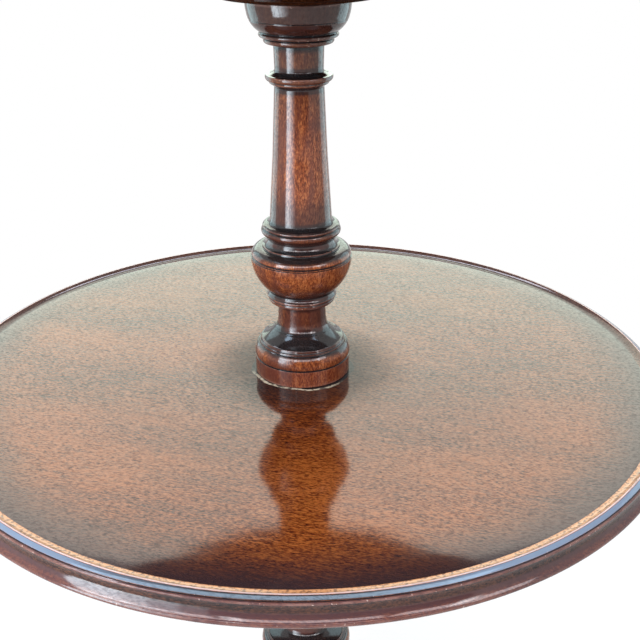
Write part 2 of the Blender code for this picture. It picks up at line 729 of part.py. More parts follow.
def build_castor_cap(place_name, swivel):
    """A square brass socket on the toe, with a boss below for the pintle and a screw on top."""
    name = "castor_cap_" + place_name
    half_width = LEG_TOE_WIDTH / 2 + SEAT_GAP
    half_length = CAP_LENGTH / 2
    mesh = bmesh.new()
    wide = half_width + CAP_WALL
    add_box(mesh, (-half_length, -wide, CAP_BOTTOM), (half_length, wide, CAP_TOP))
    cap = finish(name, mesh, brass(name + "_brass"), swivel)

    mesh = bmesh.new()
    add_rod(mesh, CAP_BOSS_RADIUS, CAP_BOSS_BOTTOM, CAP_BOTTOM + CAP_WALL / 2)
    combine(cap, finish(name + "_boss", mesh, parent=swivel), "UNION")

    mesh = bmesh.new()
    low = (-half_length - OVERRUN, -half_width, CAP_BOTTOM + CAP_WALL)
    high = (half_length - CAP_WALL, half_width, CAP_TOP - CAP_WALL)
    add_box(mesh, low, high)
    combine(cap, finish(name + "_socket_cutter", mesh, parent=swivel))

    mesh = bmesh.new()
    depth = CAP_BOTTOM - SEAT_GAP
    add_rod(mesh, PINTLE_RADIUS + SEAT_GAP, CAP_BOSS_BOTTOM - OVERRUN, depth)
    shank = CAP_SCREW_SHANK_RADIUS + SEAT_GAP
    add_rod(mesh, shank, CAP_TOP - CAP_WALL - OVERRUN, CAP_TOP + OVERRUN, SCREW_SIDES)
    combine(cap, finish(name + "_hole_cutter", mesh, parent=swivel))

    bottom = TOE_TOP - CAP_SCREW_BITE
    under = CAP_TOP + SEAT_GAP
    head = under + CAP_SCREW_HEAD_HEIGHT
    shank = CAP_SCREW_SHANK_RADIUS
    outline = [(0, bottom), (shank, bottom + shank), (shank, under)]
    dome = arc((CAP_SCREW_HEAD_RADIUS, under), (0, head), DOME_BOW_SHARE, DOME_FACETS)
    outline += [(CAP_SCREW_HEAD_RADIUS, under)] + dome
    mesh = bmesh.new()
    add_turning(mesh, outline, SCREW_SIDES)
    screw = "castor_cap_screw_" + place_name
    finish(screw, mesh, brass(screw + "_brass"), swivel)


def build_pintle(place_name, swivel):
    """The fixed pin that the horn swivels on: its shank in the cap, its head below the crown."""
    head_bottom = 2 * WHEEL_RADIUS + PINTLE_HEAD_TO_WHEEL
    head_top = head_bottom + PINTLE_HEAD_THICKNESS
    top = CAP_BOTTOM - SEAT_GAP - SEAT_GAP
    outline = [(0, head_bottom), (PINTLE_HEAD_RADIUS, head_bottom)]
    outline += [(PINTLE_HEAD_RADIUS, head_top), (PINTLE_RADIUS, head_top)]
    outline += [(PINTLE_RADIUS, top), (0, top)]
    mesh = bmesh.new()
    add_turning(mesh, outline, FITTING_SIDES)
    name = "castor_pintle_" + place_name
    finish(name, mesh, iron(name + "_iron"), swivel)


def fork_plan():
    """Side view of a horn: from the crown down to a round eye at the axle."""
    plan = [(CROWN_RADIUS, CROWN_TOP), (-CROWN_RADIUS, CROWN_TOP)]
    plan += [(-CROWN_RADIUS, CROWN_BOTTOM)]
    for step in range(EYE_FACETS + 1):
        angle = math.pi * (1 + step / EYE_FACETS)
        x = CASTOR_TRAIL + CHEEK_EYE_RADIUS * math.cos(angle)
        plan.append((x, WHEEL_RADIUS + CHEEK_EYE_RADIUS * math.sin(angle)))
    return plan


def build_fork(place_name, swivel):
    name = "castor_fork_" + place_name
    plan = fork_plan()
    sides = (-CHEEK_OUTSIDE, CHEEK_OUTSIDE)
    mesh = bmesh.new()
    add_loft(mesh, [[(x, y, z) for x, z in plan] for y in sides])
    fork = finish(name, mesh, brass(name + "_brass"), swivel)

    mesh = bmesh.new()
    far = CASTOR_TRAIL + CHEEK_EYE_RADIUS + OVERRUN
    low = (-CROWN_RADIUS - OVERRUN, -CHEEK_INSIDE, -OVERRUN)
    add_box(mesh, low, (far, CHEEK_INSIDE, CROWN_BOTTOM))
    combine(fork, finish(name + "_slot_cutter", mesh, parent=swivel))

    mesh = bmesh.new()
    bore = PINTLE_RADIUS + RUNNING_GAP
    add_rod(mesh, bore, CROWN_BOTTOM - OVERRUN, CROWN_TOP + OVERRUN)
    combine(fork, finish(name + "_pintle_cutter", mesh, parent=swivel))

    mesh = bmesh.new()
    reach = CHEEK_OUTSIDE + OVERRUN
    add_rod(mesh, AXLE_RADIUS + SEAT_GAP, -reach, reach, SCREW_SIDES, axle_place())
    combine(fork, finish(name + "_axle_cutter", mesh, parent=swivel))


def axle_place():
    """Turns +Z to the axle's direction at the axle's centre, in the swivel's frame."""
    centre = Matrix.Translation((CASTOR_TRAIL, 0, WHEEL_RADIUS))
    return centre @ Matrix.Rotation(math.radians(90), 4, "X")


def build_axle(place_name, swivel):
    inner = CHEEK_OUTSIDE + SEAT_GAP
    outer = inner + AXLE_HEAD_THICKNESS
    outline = [(0, -outer), (AXLE_HEAD_RADIUS, -outer), (AXLE_HEAD_RADIUS, -inner)]
    outline += [(AXLE_RADIUS, -inner), (AXLE_RADIUS, inner)]
    outline += [(AXLE_HEAD_RADIUS, inner), (AXLE_HEAD_RADIUS, outer), (0, outer)]
    mesh = bmesh.new()
    add_turning(mesh, outline, SCREW_SIDES, axle_place())
    name = "castor_axle_" + place_name
    finish(name, mesh, iron(name + "_iron"), swivel)


def build_wheel(place_name, swivel):
    """A solid wheel with a hub on each face. One of its flat facets rests on the floor."""
    bore = AXLE_RADIUS + RUNNING_GAP
    rim = WHEEL_RADIUS / math.cos(math.pi / WHEEL_SIDES)
    half = WHEEL_WIDTH / 2
    tread = half * TREAD_WIDTH_SHARE
    hub = WHEEL_RADIUS * HUB_SHARE
    web = (half + tread) / 2
    side = [(bore, half), (hub, half), (rim * TREAD_EDGE_SHARE, web), (rim, tread)]
    outline = side + [(out, -across) for out, across in reversed(side)]
    mesh = bmesh.new()
    half_facet = Matrix.Rotation(math.pi / WHEEL_SIDES, 4, "Z")
    upright = Matrix.Rotation(math.radians(90), 4, "X")
    add_turning(mesh, outline, WHEEL_SIDES, upright @ half_facet)
    name = "castor_wheel_" + place_name
    centre = (CASTOR_TRAIL, 0, WHEEL_RADIUS)
    finish(name, mesh, brass(name + "_brass"), swivel, centre)


def main():
    clear_scene()
    lower_stem_top = tier_heights(LOWER_FIELD_HEIGHT)[3]
    build_lower_stem(lower_stem_top)
    build_upper_stem()
    build_pivots(lower_stem_top)
    build_tier("lower_tier", LOWER_TIER_DIAMETER, LOWER_FIELD_HEIGHT, through=True)
    build_tier("upper_tier", UPPER_TIER_DIAMETER, UPPER_FIELD_HEIGHT, through=False)
    build_leg_plate()
    for place_name, degrees in LEG_ANGLES.items():
        frame = empty("leg_frame_" + place_name, turn=math.radians(degrees))
        swivel_at = (CASTOR_CIRCLE_RADIUS, 0, 0)
        swivel = empty("castor_swivel_" + place_name, frame, swivel_at)
        build_leg(place_name, frame)
        build_castor_cap(place_name, swivel)
        build_pintle(place_name, swivel)
        build_fork(place_name, swivel)
        build_axle(place_name, swivel)
        build_wheel(place_name, swivel)


main()
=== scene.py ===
# %% [markdown]
# # A revolving dumbwaiter table in French-polished mahogany
# This lesson dresses the solid model of a two-tier dumbwaiter. Almost every piece of it was
# made on a lathe, so most of the lesson is about outlines that are turned round an axis. We
# load the solid model first. It stays where it is, and each finer piece takes one solid's place.

# %% Load the solid model and note its size
import math

import bmesh
import bpy
import numpy as np
from mathutils import Matrix, Vector


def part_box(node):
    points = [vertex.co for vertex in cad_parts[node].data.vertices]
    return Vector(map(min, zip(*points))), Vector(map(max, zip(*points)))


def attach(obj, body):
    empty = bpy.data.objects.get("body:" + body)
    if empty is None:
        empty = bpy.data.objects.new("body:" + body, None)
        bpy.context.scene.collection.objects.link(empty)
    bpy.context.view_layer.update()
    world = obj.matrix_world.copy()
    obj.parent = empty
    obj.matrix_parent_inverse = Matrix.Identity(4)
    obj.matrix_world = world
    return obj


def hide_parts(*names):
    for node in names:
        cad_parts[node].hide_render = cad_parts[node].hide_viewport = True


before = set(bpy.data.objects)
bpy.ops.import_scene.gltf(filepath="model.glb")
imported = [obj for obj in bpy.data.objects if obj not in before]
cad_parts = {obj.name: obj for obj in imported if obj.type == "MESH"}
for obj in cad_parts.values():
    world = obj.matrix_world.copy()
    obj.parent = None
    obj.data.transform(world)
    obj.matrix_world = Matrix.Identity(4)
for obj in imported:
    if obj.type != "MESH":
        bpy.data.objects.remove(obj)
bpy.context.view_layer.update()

scene = bpy.context.scene

# %% [markdown]
# ## The camera
# The picture was taken close up, from a little under a metre away and looking down at the lower
# tier. A camera can be placed by eye, or worked out from circles whose true size is known. Here
# it was worked out from the rims and rings, so we only build its turning matrix: the columns are
# the camera's right, its up, and the way out of its back.

# %% Place the camera
CAMERA_PLACE = Vector((0, -0.7546, 0.8909))
PITCH, YAW, ROLL = 0.4313, 0.020, 0.004
SENSOR_WIDTH = 36
PICTURE_WIDTH = 640
FOCAL_PIXELS = 982.66
NEAREST_SEEN = 0.02


def camera_axes(pitch, yaw, roll):
    ahead = Vector((math.sin(yaw) * math.cos(pitch), math.cos(yaw) * math.cos(pitch), -math.sin(pitch)))
    level = Vector((math.cos(yaw), -math.sin(yaw), 0))
    down = ahead.cross(level)
    right = math.cos(roll) * level + math.sin(roll) * down
    return right, ahead.cross(right) * -1, -ahead


def place_camera():
    data = bpy.data.cameras.new("view")
    data.sensor_width = SENSOR_WIDTH
    data.lens = FOCAL_PIXELS / PICTURE_WIDTH * SENSOR_WIDTH
    data.clip_start = NEAREST_SEEN
    camera = bpy.data.objects.new("view", data)
    scene.collection.objects.link(camera)
    turn = Matrix(camera_axes(PITCH, YAW, ROLL)).transposed().to_4x4()
    camera.matrix_world = Matrix.Translation(CAMERA_PLACE) @ turn
    scene.camera = camera
    return camera


print("lens, mm:", round(place_camera().data.lens, 2))

# %% [markdown]
# ## Small helpers for node trees
# A material or a Geometry Nodes tree is a set of boxes and wires. Written out in full it is long,
# so one helper makes a node and fills in its inputs: a value is set on the socket, and another
# node's output is wired to it.

# %% A helper that makes and wires one node
def node(tree, kind, *wires, **settings):
    """Add a node. Each wire is (input's name or number, a value or another node's output)."""
    made = tree.nodes.new(kind)
    for key, value in settings.items():
        setattr(made, key, value)
    for place, value in wires:
        socket = made.inputs[place]
        if isinstance(value, bpy.types.NodeSocket):
            tree.links.new(value, socket)
        else:
            socket.default_value = value
    return made


def maths(tree, operation, first, *others):
    """One sum on two numbers. With more of them, each in turn is taken with the result so far."""
    for other in others or (0.0,):
        first = node(tree, "ShaderNodeMath", (0, first), (1, other), operation=operation).outputs[0]
    return first


def vector_maths(tree, operation, first, second):
    return node(tree, "ShaderNodeVectorMath", (0, first), (1, second), operation=operation).outputs[0]


# %% [markdown]
# ## Outlines
# A turner thinks in half sections: the outline from the axis outwards is all that there is to a
# turned piece. Ours is a table of rows, each with a radius, a height and a bow. A bow over zero
# swells out to the next point, one under zero is hollow, and zero is straight. An arc could be a
# Bezier curve, but true arcs are what a gouge cuts, and they need just one number.

# %% From rows to the points of an outline
FINEST_TURN = math.radians(5)


def arc(start, end, bow):
    """The points after start, up to end, of an arc that bows to the right of its chord."""
    across = Vector((end[0] - start[0], end[1] - start[1]))
    if bow == 0 or across.length == 0:
        return [Vector(end)]
    half_turn = 2 * math.atan(2 * abs(bow))
    steps = max(2, math.ceil(2 * half_turn / FINEST_TURN))
    aside = Vector((across.y, -across.x)).normalized() * math.copysign(1, bow)
    radius = across.length / (2 * math.sin(half_turn))
    centre = Vector(start) + across / 2 - aside * radius * math.cos(half_turn)
    points = []
    for step in range(1, steps):
        angle = half_turn * (2 * step / steps - 1)
        points.append(centre + radius * (across.normalized() * math.sin(angle) + aside * math.cos(angle)))
    return points + [Vector(end)]


def outline_of(rows):
    """The points of an outline of (radius, height, bow) rows."""
    points = [Vector(rows[0][:2])]
    for radius, height, bow in rows[1:]:
        points += arc(points[-1], (radius, height), bow)
    return points


# %% [markdown]
# No edge on an old table is knife sharp. Where an outline turns sharply we swap the corner for a
# small curve, and add a point a little further off on each side that holds the flat parts flat.
# A Bevel modifier could do it too, but here it takes a few lines, and works before the turning.

# %% Ease the sharp corners of an outline
EASING = 0.00028
LARGEST_SHARE = 0.22
SHARPEST = math.radians(7.5)


def eased(points, reach=EASING):
    soft = [points[0]]
    for before, corner, after in zip(points, points[1:], points[2:]):
        back, ahead = before - corner, after - corner
        if back.length == 0 or ahead.length == 0:
            continue
        if (-back).angle(ahead) < SHARPEST:
            soft.append(corner)
            continue
        cut = min(reach, LARGEST_SHARE * back.length, LARGEST_SHARE * ahead.length)
        near, far = corner + back.normalized() * cut, corner + ahead.normalized() * cut
        soft += [near + back.normalized() * cut, near, (near + 2 * corner + far) / 4]
        soft += [far, far + ahead.normalized() * cut]
    return soft + [points[-1]]


def filled_in(points, longest=0.003):
    """Add points along the long straight parts, where a finish has to change smoothly."""
    full = [points[0]]
    for start, end in zip(points, points[1:]):
        parts = max(1, math.ceil((end - start).length / longest))
        full += [start.lerp(end, part / parts) for part in range(1, parts + 1)]
    return full


# %% [markdown]
# ## Where hands and polish reach
# Polish builds up dark in the hollows, and wears thin on the crests. To let a material know which
# is which, each point of an outline gets a number, its relief: how far it stands out from the
# outline once that is smoothed. A broad smoothing finds the hollows, and a narrow one finds the
# thin edges. Cycles has a Pointiness output for this, but it depends on the mesh, while these
# numbers are exact, and can be stored with the piece.

# %% Measure the relief along an outline
REACHES = {"relief": 0.0030, "edge": 0.0010}
STEPS_IN_REACH = 8
SPAN = 4 * STEPS_IN_REACH
RELIEF_GAIN = 2.5


def relief_of(points, reach):
    """Over 0 on crests and under 0 in hollows, about -1 to 1."""
    line = np.array([tuple(point) for point in points])
    steps = np.linalg.norm(np.diff(line, axis=0), axis=1)
    along = np.concatenate([[0], np.cumsum(steps)])
    even = np.arange(0, along[-1], reach / STEPS_IN_REACH)
    fine = np.stack([np.interp(even, along, line[:, axis]) for axis in (0, 1)], axis=1)
    weights = np.exp(-(np.arange(-SPAN, SPAN + 1) / STEPS_IN_REACH)**2 / 2)
    weights = weights / weights.sum()
    padded = np.pad(fine, ((SPAN, SPAN), (0, 0)), mode="edge")
    smooth = np.stack([np.convolve(padded[:, axis], weights, "valid") for axis in (0, 1)], axis=1)
    run = np.gradient(smooth, axis=0)
    outward = np.stack([run[:, 1], -run[:, 0]], axis=1)
    outward /= np.maximum(np.linalg.norm(outward, axis=1, keepdims=True), 1e-12)
    stands_out = ((fine - smooth) * outward).sum(axis=1) / reach
    return np.clip(np.interp(along, even, stands_out) * RELIEF_GAIN, -1, 1)


# %% [markdown]
# ## A lathe in Geometry Nodes
# The rule of the whole table is simple: one outline, turned round one axis. That makes the lathe
# worth building once as a Geometry Nodes tree, with the outline, the number of cuts round and the
# finish as its inputs. A grid has one column of points for each cut. Every point looks up its
# place on the outline by its row, and is turned by its column. Merging points that coincide then
# closes the seam, and the poles on the axis. The Screw modifier or bmesh's spin would turn the
# outline too, but neither would carry the relief to every point of the surface.

# %% Build the lathe tree
TOUCHING = 1e-6


def lathe_tree():
    tree = bpy.data.node_groups.new("lathe", "GeometryNodeTree")
    for name, kind in (("Outline", "Geometry"), ("Cuts round", "Int"), ("Finish", "Material")):
        tree.interface.new_socket(name, in_out="INPUT", socket_type="NodeSocket" + kind)
    tree.interface.new_socket("Turning", in_out="OUTPUT", socket_type="NodeSocketGeometry")
    given = node(tree, "NodeGroupInput").outputs
    rows = node(tree, "GeometryNodeAttributeDomainSize", (0, given["Outline"])).outputs[0]
    columns = maths(tree, "ADD", given["Cuts round"], 1)
    grid = node(tree, "GeometryNodeMeshGrid", ("Vertices X", columns), ("Vertices Y", rows)).outputs[0]
    index = node(tree, "GeometryNodeInputIndex").outputs[0]
    row = maths(tree, "MODULO", index, rows)
    column = maths(tree, "FLOOR", maths(tree, "DIVIDE", index, rows))
    angle = maths(tree, "DIVIDE", maths(tree, "MULTIPLY", column, 2 * math.pi), given["Cuts round"])

    def looked_up(kind, value):
        return node(tree, "GeometryNodeSampleIndex", ("Geometry", given["Outline"]), ("Value", value),
                    ("Index", row), data_type=kind).outputs[0]

    place = looked_up("FLOAT_VECTOR", node(tree, "GeometryNodeInputPosition").outputs[0])
    turned = node(tree, "ShaderNodeVectorRotate", ("Vector", place), ("Angle", angle),
                  rotation_type="Z_AXIS").outputs[0]
    shell = node(tree, "GeometryNodeSetPosition", ("Geometry", grid), ("Position", turned)).outputs[0]
    for name in REACHES:
        number = node(tree, "GeometryNodeInputNamedAttribute", ("Name", name), data_type="FLOAT")
        value = looked_up("FLOAT", number.outputs[0])
        shell = node(tree, "GeometryNodeStoreNamedAttribute", ("Geometry", shell), ("Name", name),
                     ("Value", value), data_type="FLOAT", domain="POINT").outputs[0]
    closed = node(tree, "GeometryNodeMergeByDistance", ("Geometry", shell), ("Distance", TOUCHING))
    real = node(tree, "GeometryNodeRealizeInstances", ("Geometry", closed.outputs[0])).outputs[0]
    finished = node(tree, "GeometryNodeSetMaterial", ("Geometry", real), ("Material", given["Finish"]))
    node(tree, "NodeGroupOutput", ("Turning", finished.outputs[0]))
    return tree


LATHE = lathe_tree()
print("lathe tree:", len(LATHE.nodes), "nodes")

# %% [markdown]
# A modifier's inputs are known by their identifiers, so we look those up by name. Once the lathe
# has run, the result is kept as a plain mesh and the modifier goes, because plain meshes are what
# every other program can read.

# %% Run a tree and keep the plain mesh
SMOOTH_UP_TO = math.radians(32)


def link(name, mesh):
    thing = bpy.data.objects.new(name, mesh)
    scene.collection.objects.link(thing)
    return thing


def made_plain(thing):
    """Bake an object's modifiers into its mesh, and shade it smooth but for its sharp edges."""
    bpy.context.view_layer.update()
    ready = thing.evaluated_get(bpy.context.evaluated_depsgraph_get())
    mesh = bpy.data.meshes.new_from_object(ready)
    thing.modifiers.clear()
    old = thing.data
    thing.data = mesh
    mesh.name = thing.name
    bpy.data.meshes.remove(old)
    mesh.shade_smooth()
    mesh.set_sharp_from_angle(angle=SMOOTH_UP_TO)
    return thing


def run_tree(thing, tree, **inputs):
    modifier = thing.modifiers.new(tree.name, "NODES")
    modifier.node_group = tree
    for item in tree.interface.items_tree:
        key = item.name.lower().replace(" ", "_")
        if item.in_out == "INPUT" and key in inputs:
            modifier[item.identifier] = inputs[key]
    return made_plain(thing)


def turn(name, points, finish, cuts):
    """Turn an outline on the lathe, with its relief stored along it."""
    mesh = bpy.data.meshes.new(name)
    corners = [(point.x, 0, point.y) for point in points]
    mesh.from_pydata(corners, [(low, low + 1) for low in range(len(corners) - 1)], [])
    for mark, reach in REACHES.items():
        mesh.attributes.new(mark, "FLOAT", "POINT").data.foreach_set("value", relief_of(points, reach))
    return run_tree(link(name, mesh), LATHE, cuts_round=cuts, finish=finish)


def triangles(thing):
    return sum(len(face.vertices) - 2 for face in thing.data.polygons)


def settle(thing, body, slot, *nodes):
    """Tell the frame what a piece moves with, and which solids it replaces. Its slot is not used."""
    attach(thing, body)
    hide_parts(*nodes)


# %% [markdown]
# ## Mahogany under French polish
# Polished mahogany is two things: red-brown wood, and a thin clear film of shellac on it. The
# wood could be an image, but a procedural grain has no seams, and runs right through the piece as
# real timber does, so a turning cuts it into ovals by itself. Object coordinates are stretched
# along the grain. Broad clouds and ribbons make the figure, short dark flecks make the grain, and
# the finest ones are the open pores. The film is the shader's coat: smooth, and slightly uneven.

# %% Stretch noise along the grain
WANDER_SCALE = 3.5
WANDER_REACH = (0, 0.05, 0.05)


def object_place(tree):
    return node(tree, "ShaderNodeTexCoord").outputs["Object"]


def noise(tree, place, scale, detail, rough=0.5):
    return node(tree, "ShaderNodeTexNoise", ("Vector", place), ("Scale", scale), ("Detail", detail),
                ("Roughness", rough)).outputs["Fac"]


def grain_space(tree, grain_turn, start):
    """Object coordinates with the grain along X, gently wandering as a tree grows."""
    straight = node(tree, "ShaderNodeMapping", ("Vector", object_place(tree)), ("Rotation", grain_turn),
                    ("Location", start)).outputs[0]
    wander = node(tree, "ShaderNodeTexNoise", ("Vector", straight), ("Scale", WANDER_SCALE), ("Detail", 2))
    centred = vector_maths(tree, "SUBTRACT", wander.outputs["Color"], (0.5, 0.5, 0.5))
    return vector_maths(tree, "ADD", straight, vector_maths(tree, "MULTIPLY", centred, WANDER_REACH))


def stretched(tree, space, changes, detail=3):
    """Noise with so many changes in a metre along the grain and across it."""
    along, across = changes
    return noise(tree, vector_maths(tree, "MULTIPLY", space, (along, across, across)), 1, detail, 0.6)


# %% Map numbers to numbers and to colours
def between(tree, value, low, high, to_low=0.0, to_high=1.0):
    """A number's place between two others, with a soft start and end. Low may be the larger one."""
    return node(tree, "ShaderNodeMapRange", ("Value", value), ("From Min", low), ("From Max", high),
                ("To Min", to_low), ("To Max", to_high), interpolation_type="SMOOTHSTEP").outputs[0]


def ramp(tree, value, stops):
    made = node(tree, "ShaderNodeValToRGB", ("Fac", value))
    band = made.color_ramp
    while len(band.elements) < len(stops):
        band.elements.new(1)
    for element, (place, colour) in zip(band.elements, stops):
        element.position = place
        element.color = (*colour, 1)
    return made.outputs[0]


def as_colour(value):
    """A socket as it is, or three numbers with full opacity added."""
    return value if isinstance(value, bpy.types.NodeSocket) else (*value, 1)


def mixed(tree, share, first, second, blend="MIX"):
    """Mix two colours. Of the mix node's many sockets, inputs 6 and 7 and output 2 are colours."""
    made = node(tree, "ShaderNodeMix", ("Factor", share), (6, as_colour(first)), (7, as_colour(second)),
                data_type="RGBA", blend_type=blend)
    return made.outputs[2]


# %% [markdown]
# The same recipe serves every mahogany piece, but each gets its own cut of timber: its own start
# in the grain, its own direction and its own tint. First comes the bare wood. A board's flecks
# are a little longer than a stem's, and stand out more.

# %% Grow the wood
DARK_WOOD = (0.042, 0.010, 0.007)
MIDDLE_WOOD = (0.190, 0.044, 0.014)
LIGHT_WOOD = (0.400, 0.122, 0.036)
STEM_TINT, BOARD_TINT = (0.90, 0.96, 1.02), (0.60, 0.50, 0.33)
LEG_TINT, UNDERSIDE_SHADE_TINT, BOSS_SHADE_TINT = (0.85, 0.85, 0.85), (0.40, 0.40, 0.40), (0.12, 0.12, 0.12)
# changes in a metre along and across the grain
CLOUDS, RIBBONS, PORES = (7, 18), (40, 380), (240, 1300)
# the same for the flecks, with how far from its middle the figure turns fully dark or light
SPINDLE_FLECKS, BOARD_FLECKS = (380, 950, 0.14), (330, 900, 0.10)
CLOUD_SHARE, RIBBON_SHARE, FLECK_SHARE = 0.25, 0.22, 0.53
MIDDLE = 0.47


def bare_wood(tree, space, tint, grain):
    """The wood's colour, with the masks of its flecks and of its open pores."""
    spread = grain[2]
    flecks = stretched(tree, space, grain[:2], 2)
    clouds, ribbons = stretched(tree, space, CLOUDS, 2), stretched(tree, space, RIBBONS, 2)
    figure = maths(tree, "ADD", maths(tree, "MULTIPLY", clouds, CLOUD_SHARE),
                   maths(tree, "MULTIPLY", ribbons, RIBBON_SHARE),
                   maths(tree, "MULTIPLY", flecks, FLECK_SHARE))
    stops = (MIDDLE - spread, DARK_WOOD), (MIDDLE, MIDDLE_WOOD), (MIDDLE + spread, LIGHT_WOOD)
    pores = between(tree, stretched(tree, space, PORES, 1), 0.54, 0.64)
    wood = mixed(tree, maths(tree, "MULTIPLY", pores, 0.6), ramp(tree, figure, stops), DARK_WOOD)
    return mixed(tree, 1.0, wood, tint, "MULTIPLY"), flecks, pores


# %% [markdown]
# Then come the years. The relief darkens the hollows, where old polish lies. The edges are worn to
# bare orange wood in places, with a few chips in the film. Each piece can add a finish of its own
# between the two, as a function that takes the wood's colour and gives it back changed.

# %% Age the wood
# near-black old polish in the hollows, and painted shade where the finishes below use it
OLD_POLISH_AND_SHADE = (0.010, 0.010, 0.011)
WORN_WOOD = (0.26, 0.13, 0.10)
CHIPPED_FILM = (0.70, 0.52, 0.43)
RUBBED_PATCHES, CHIPS = (60, 60), (420, 420)


def aged(tree, space, wood, patina, wear, finish):
    relief, edge = (node(tree, "ShaderNodeAttribute", attribute_name=mark).outputs["Fac"]
                    for mark in REACHES)
    wood = mixed(tree, between(tree, relief, -0.02, -0.30, 0, patina), wood, OLD_POLISH_AND_SHADE)
    if finish:
        wood = finish(tree, wood)
    wood = mixed(tree, between(tree, edge, -0.15, -0.50, 0, 0.9), wood, OLD_POLISH_AND_SHADE)
    patches = between(tree, stretched(tree, space, RUBBED_PATCHES), 0.40, 0.60, 0.15, 1.0)
    worn = maths(tree, "MULTIPLY", between(tree, edge, 0.30, 0.75, 0, wear), patches)
    wood = mixed(tree, worn, wood, WORN_WOOD)
    chips = between(tree, stretched(tree, space, CHIPS, 1), 0.70, 0.74, 0, wear)
    chipped = maths(tree, "MULTIPLY", between(tree, edge, 0.35, 0.6), chips)
    return mixed(tree, chipped, wood, CHIPPED_FILM)


# %% [markdown]
# Last comes the film. It has sunk over the flecks and shines less there, which breaks reflections
# up as on real mahogany. The bare wood under it has no shine of its own, because a second
# highlight under the film would only grey it.

# %% The recipe for polished mahogany
DULL_PATCHES, RIPPLES = (14, 40), (40, 90)
PORE_DEPTH, RIPPLE_DEPTH = 0.0003, 0.0004


def new_material(name):
    material = bpy.data.materials.new(name)
    material.use_nodes = True
    tree = material.node_tree
    return material, tree, tree.nodes["Principled BSDF"]


def mahogany(name, grain_turn, start, tint, patina=0.9, film=1.0, film_rough=0.09, wear=0.6,
             grain=SPINDLE_FLECKS, finish=None, dulled=None):
    """Mahogany under polish. dulled is a function that gives how much of the gloss is left."""
    material, tree, shader = new_material(name)
    space = grain_space(tree, grain_turn, start)
    wood, flecks, pores = bare_wood(tree, space, tint, grain)
    tree.links.new(aged(tree, space, wood, patina, wear, finish), shader.inputs["Base Color"])
    rough = between(tree, stretched(tree, space, DULL_PATCHES), 0.3, 0.7, 0.34, 0.46)
    tree.links.new(rough, shader.inputs["Roughness"])
    pits = node(tree, "ShaderNodeBump", ("Height", pores), ("Strength", 0.3), ("Distance", PORE_DEPTH),
                invert=True)
    tree.links.new(pits.outputs[0], shader.inputs["Normal"])
    uneven = maths(tree, "ADD", stretched(tree, space, RIPPLES, 1), maths(tree, "MULTIPLY", flecks, 0.3))
    skin = node(tree, "ShaderNodeBump", ("Height", uneven), ("Strength", 0.06), ("Distance", RIPPLE_DEPTH))
    tree.links.new(skin.outputs[0], shader.inputs["Coat Normal"])
    gloss = between(tree, flecks, 0.38, 0.54, 0.68 * film, film)
    if dulled:
        gloss = maths(tree, "MULTIPLY", gloss, dulled(tree))
    tree.links.new(gloss, shader.inputs["Coat Weight"])
    shader.inputs["Specular IOR Level"].default_value = 0.0
    shader.inputs["Coat Roughness"].default_value = film_rough
    return material


# %% [markdown]
# ## Brass and iron
# Old brass is never one gold. It is dull and brown where no cloth reaches, and brighter where it
# does, with fine scratches all over. Forged iron is darker, rougher and faintly brown. Both come
# from one recipe with two colours, a patchy mask between them and a fine bump.

# %% The recipe for old metal
SCRATCHES = (300, 2600, 900)
BRASS_BRIGHT, BRASS_DULL = (0.52, 0.37, 0.17), (0.26, 0.16, 0.075)
IRON_BRIGHT, IRON_DULL = (0.23, 0.21, 0.19), (0.055, 0.040, 0.032)


def old_metal(name, bright, dull, smooth, rough):
    material, tree, shader = new_material(name)
    place = object_place(tree)
    specks = noise(tree, place, 1400, 2)
    scratches = noise(tree, vector_maths(tree, "MULTIPLY", place, SCRATCHES), 1, 2)
    patches = maths(tree, "ADD", noise(tree, place, 70, 6, 0.65), maths(tree, "MULTIPLY", specks, 0.25))
    tarnish = between(tree, patches, 0.45, 0.90)
    shader.inputs["Metallic"].default_value = 1.0
    tree.links.new(mixed(tree, tarnish, bright, dull), shader.inputs["Base Color"])
    tree.links.new(between(tree, tarnish, 0, 1, smooth, rough), shader.inputs["Roughness"])
    height = maths(tree, "ADD", maths(tree, "MULTIPLY", scratches, 0.5), specks)
    bump = node(tree, "ShaderNodeBump", ("Height", height), ("Strength", 0.08), ("Distance", 0.0002))
    tree.links.new(bump.outputs[0], shader.inputs["Normal"])
    return material


BRASS = old_metal("dull_brass", BRASS_BRIGHT, BRASS_DULL, 0.24, 0.48)
IRON = old_metal("forged_iron", IRON_BRIGHT, IRON_DULL, 0.38, 0.66)
print("metals:", BRASS.name, IRON.name)

# %% [markdown]
# ## The stem
# The stem that shows between the tiers is one long spindle turning. From its foot up it has a
# plinth, a rounded shoulder with two fine steps, a waisted neck, a bulb like a small pot with a
# quarter round on top, a collar of two beads, a long taper, a ring, another neck and a cup. The
# rows below are shares of the plinth's radius and of the stem's height, so one table serves the
# stem below the tier too, which is a little stouter.

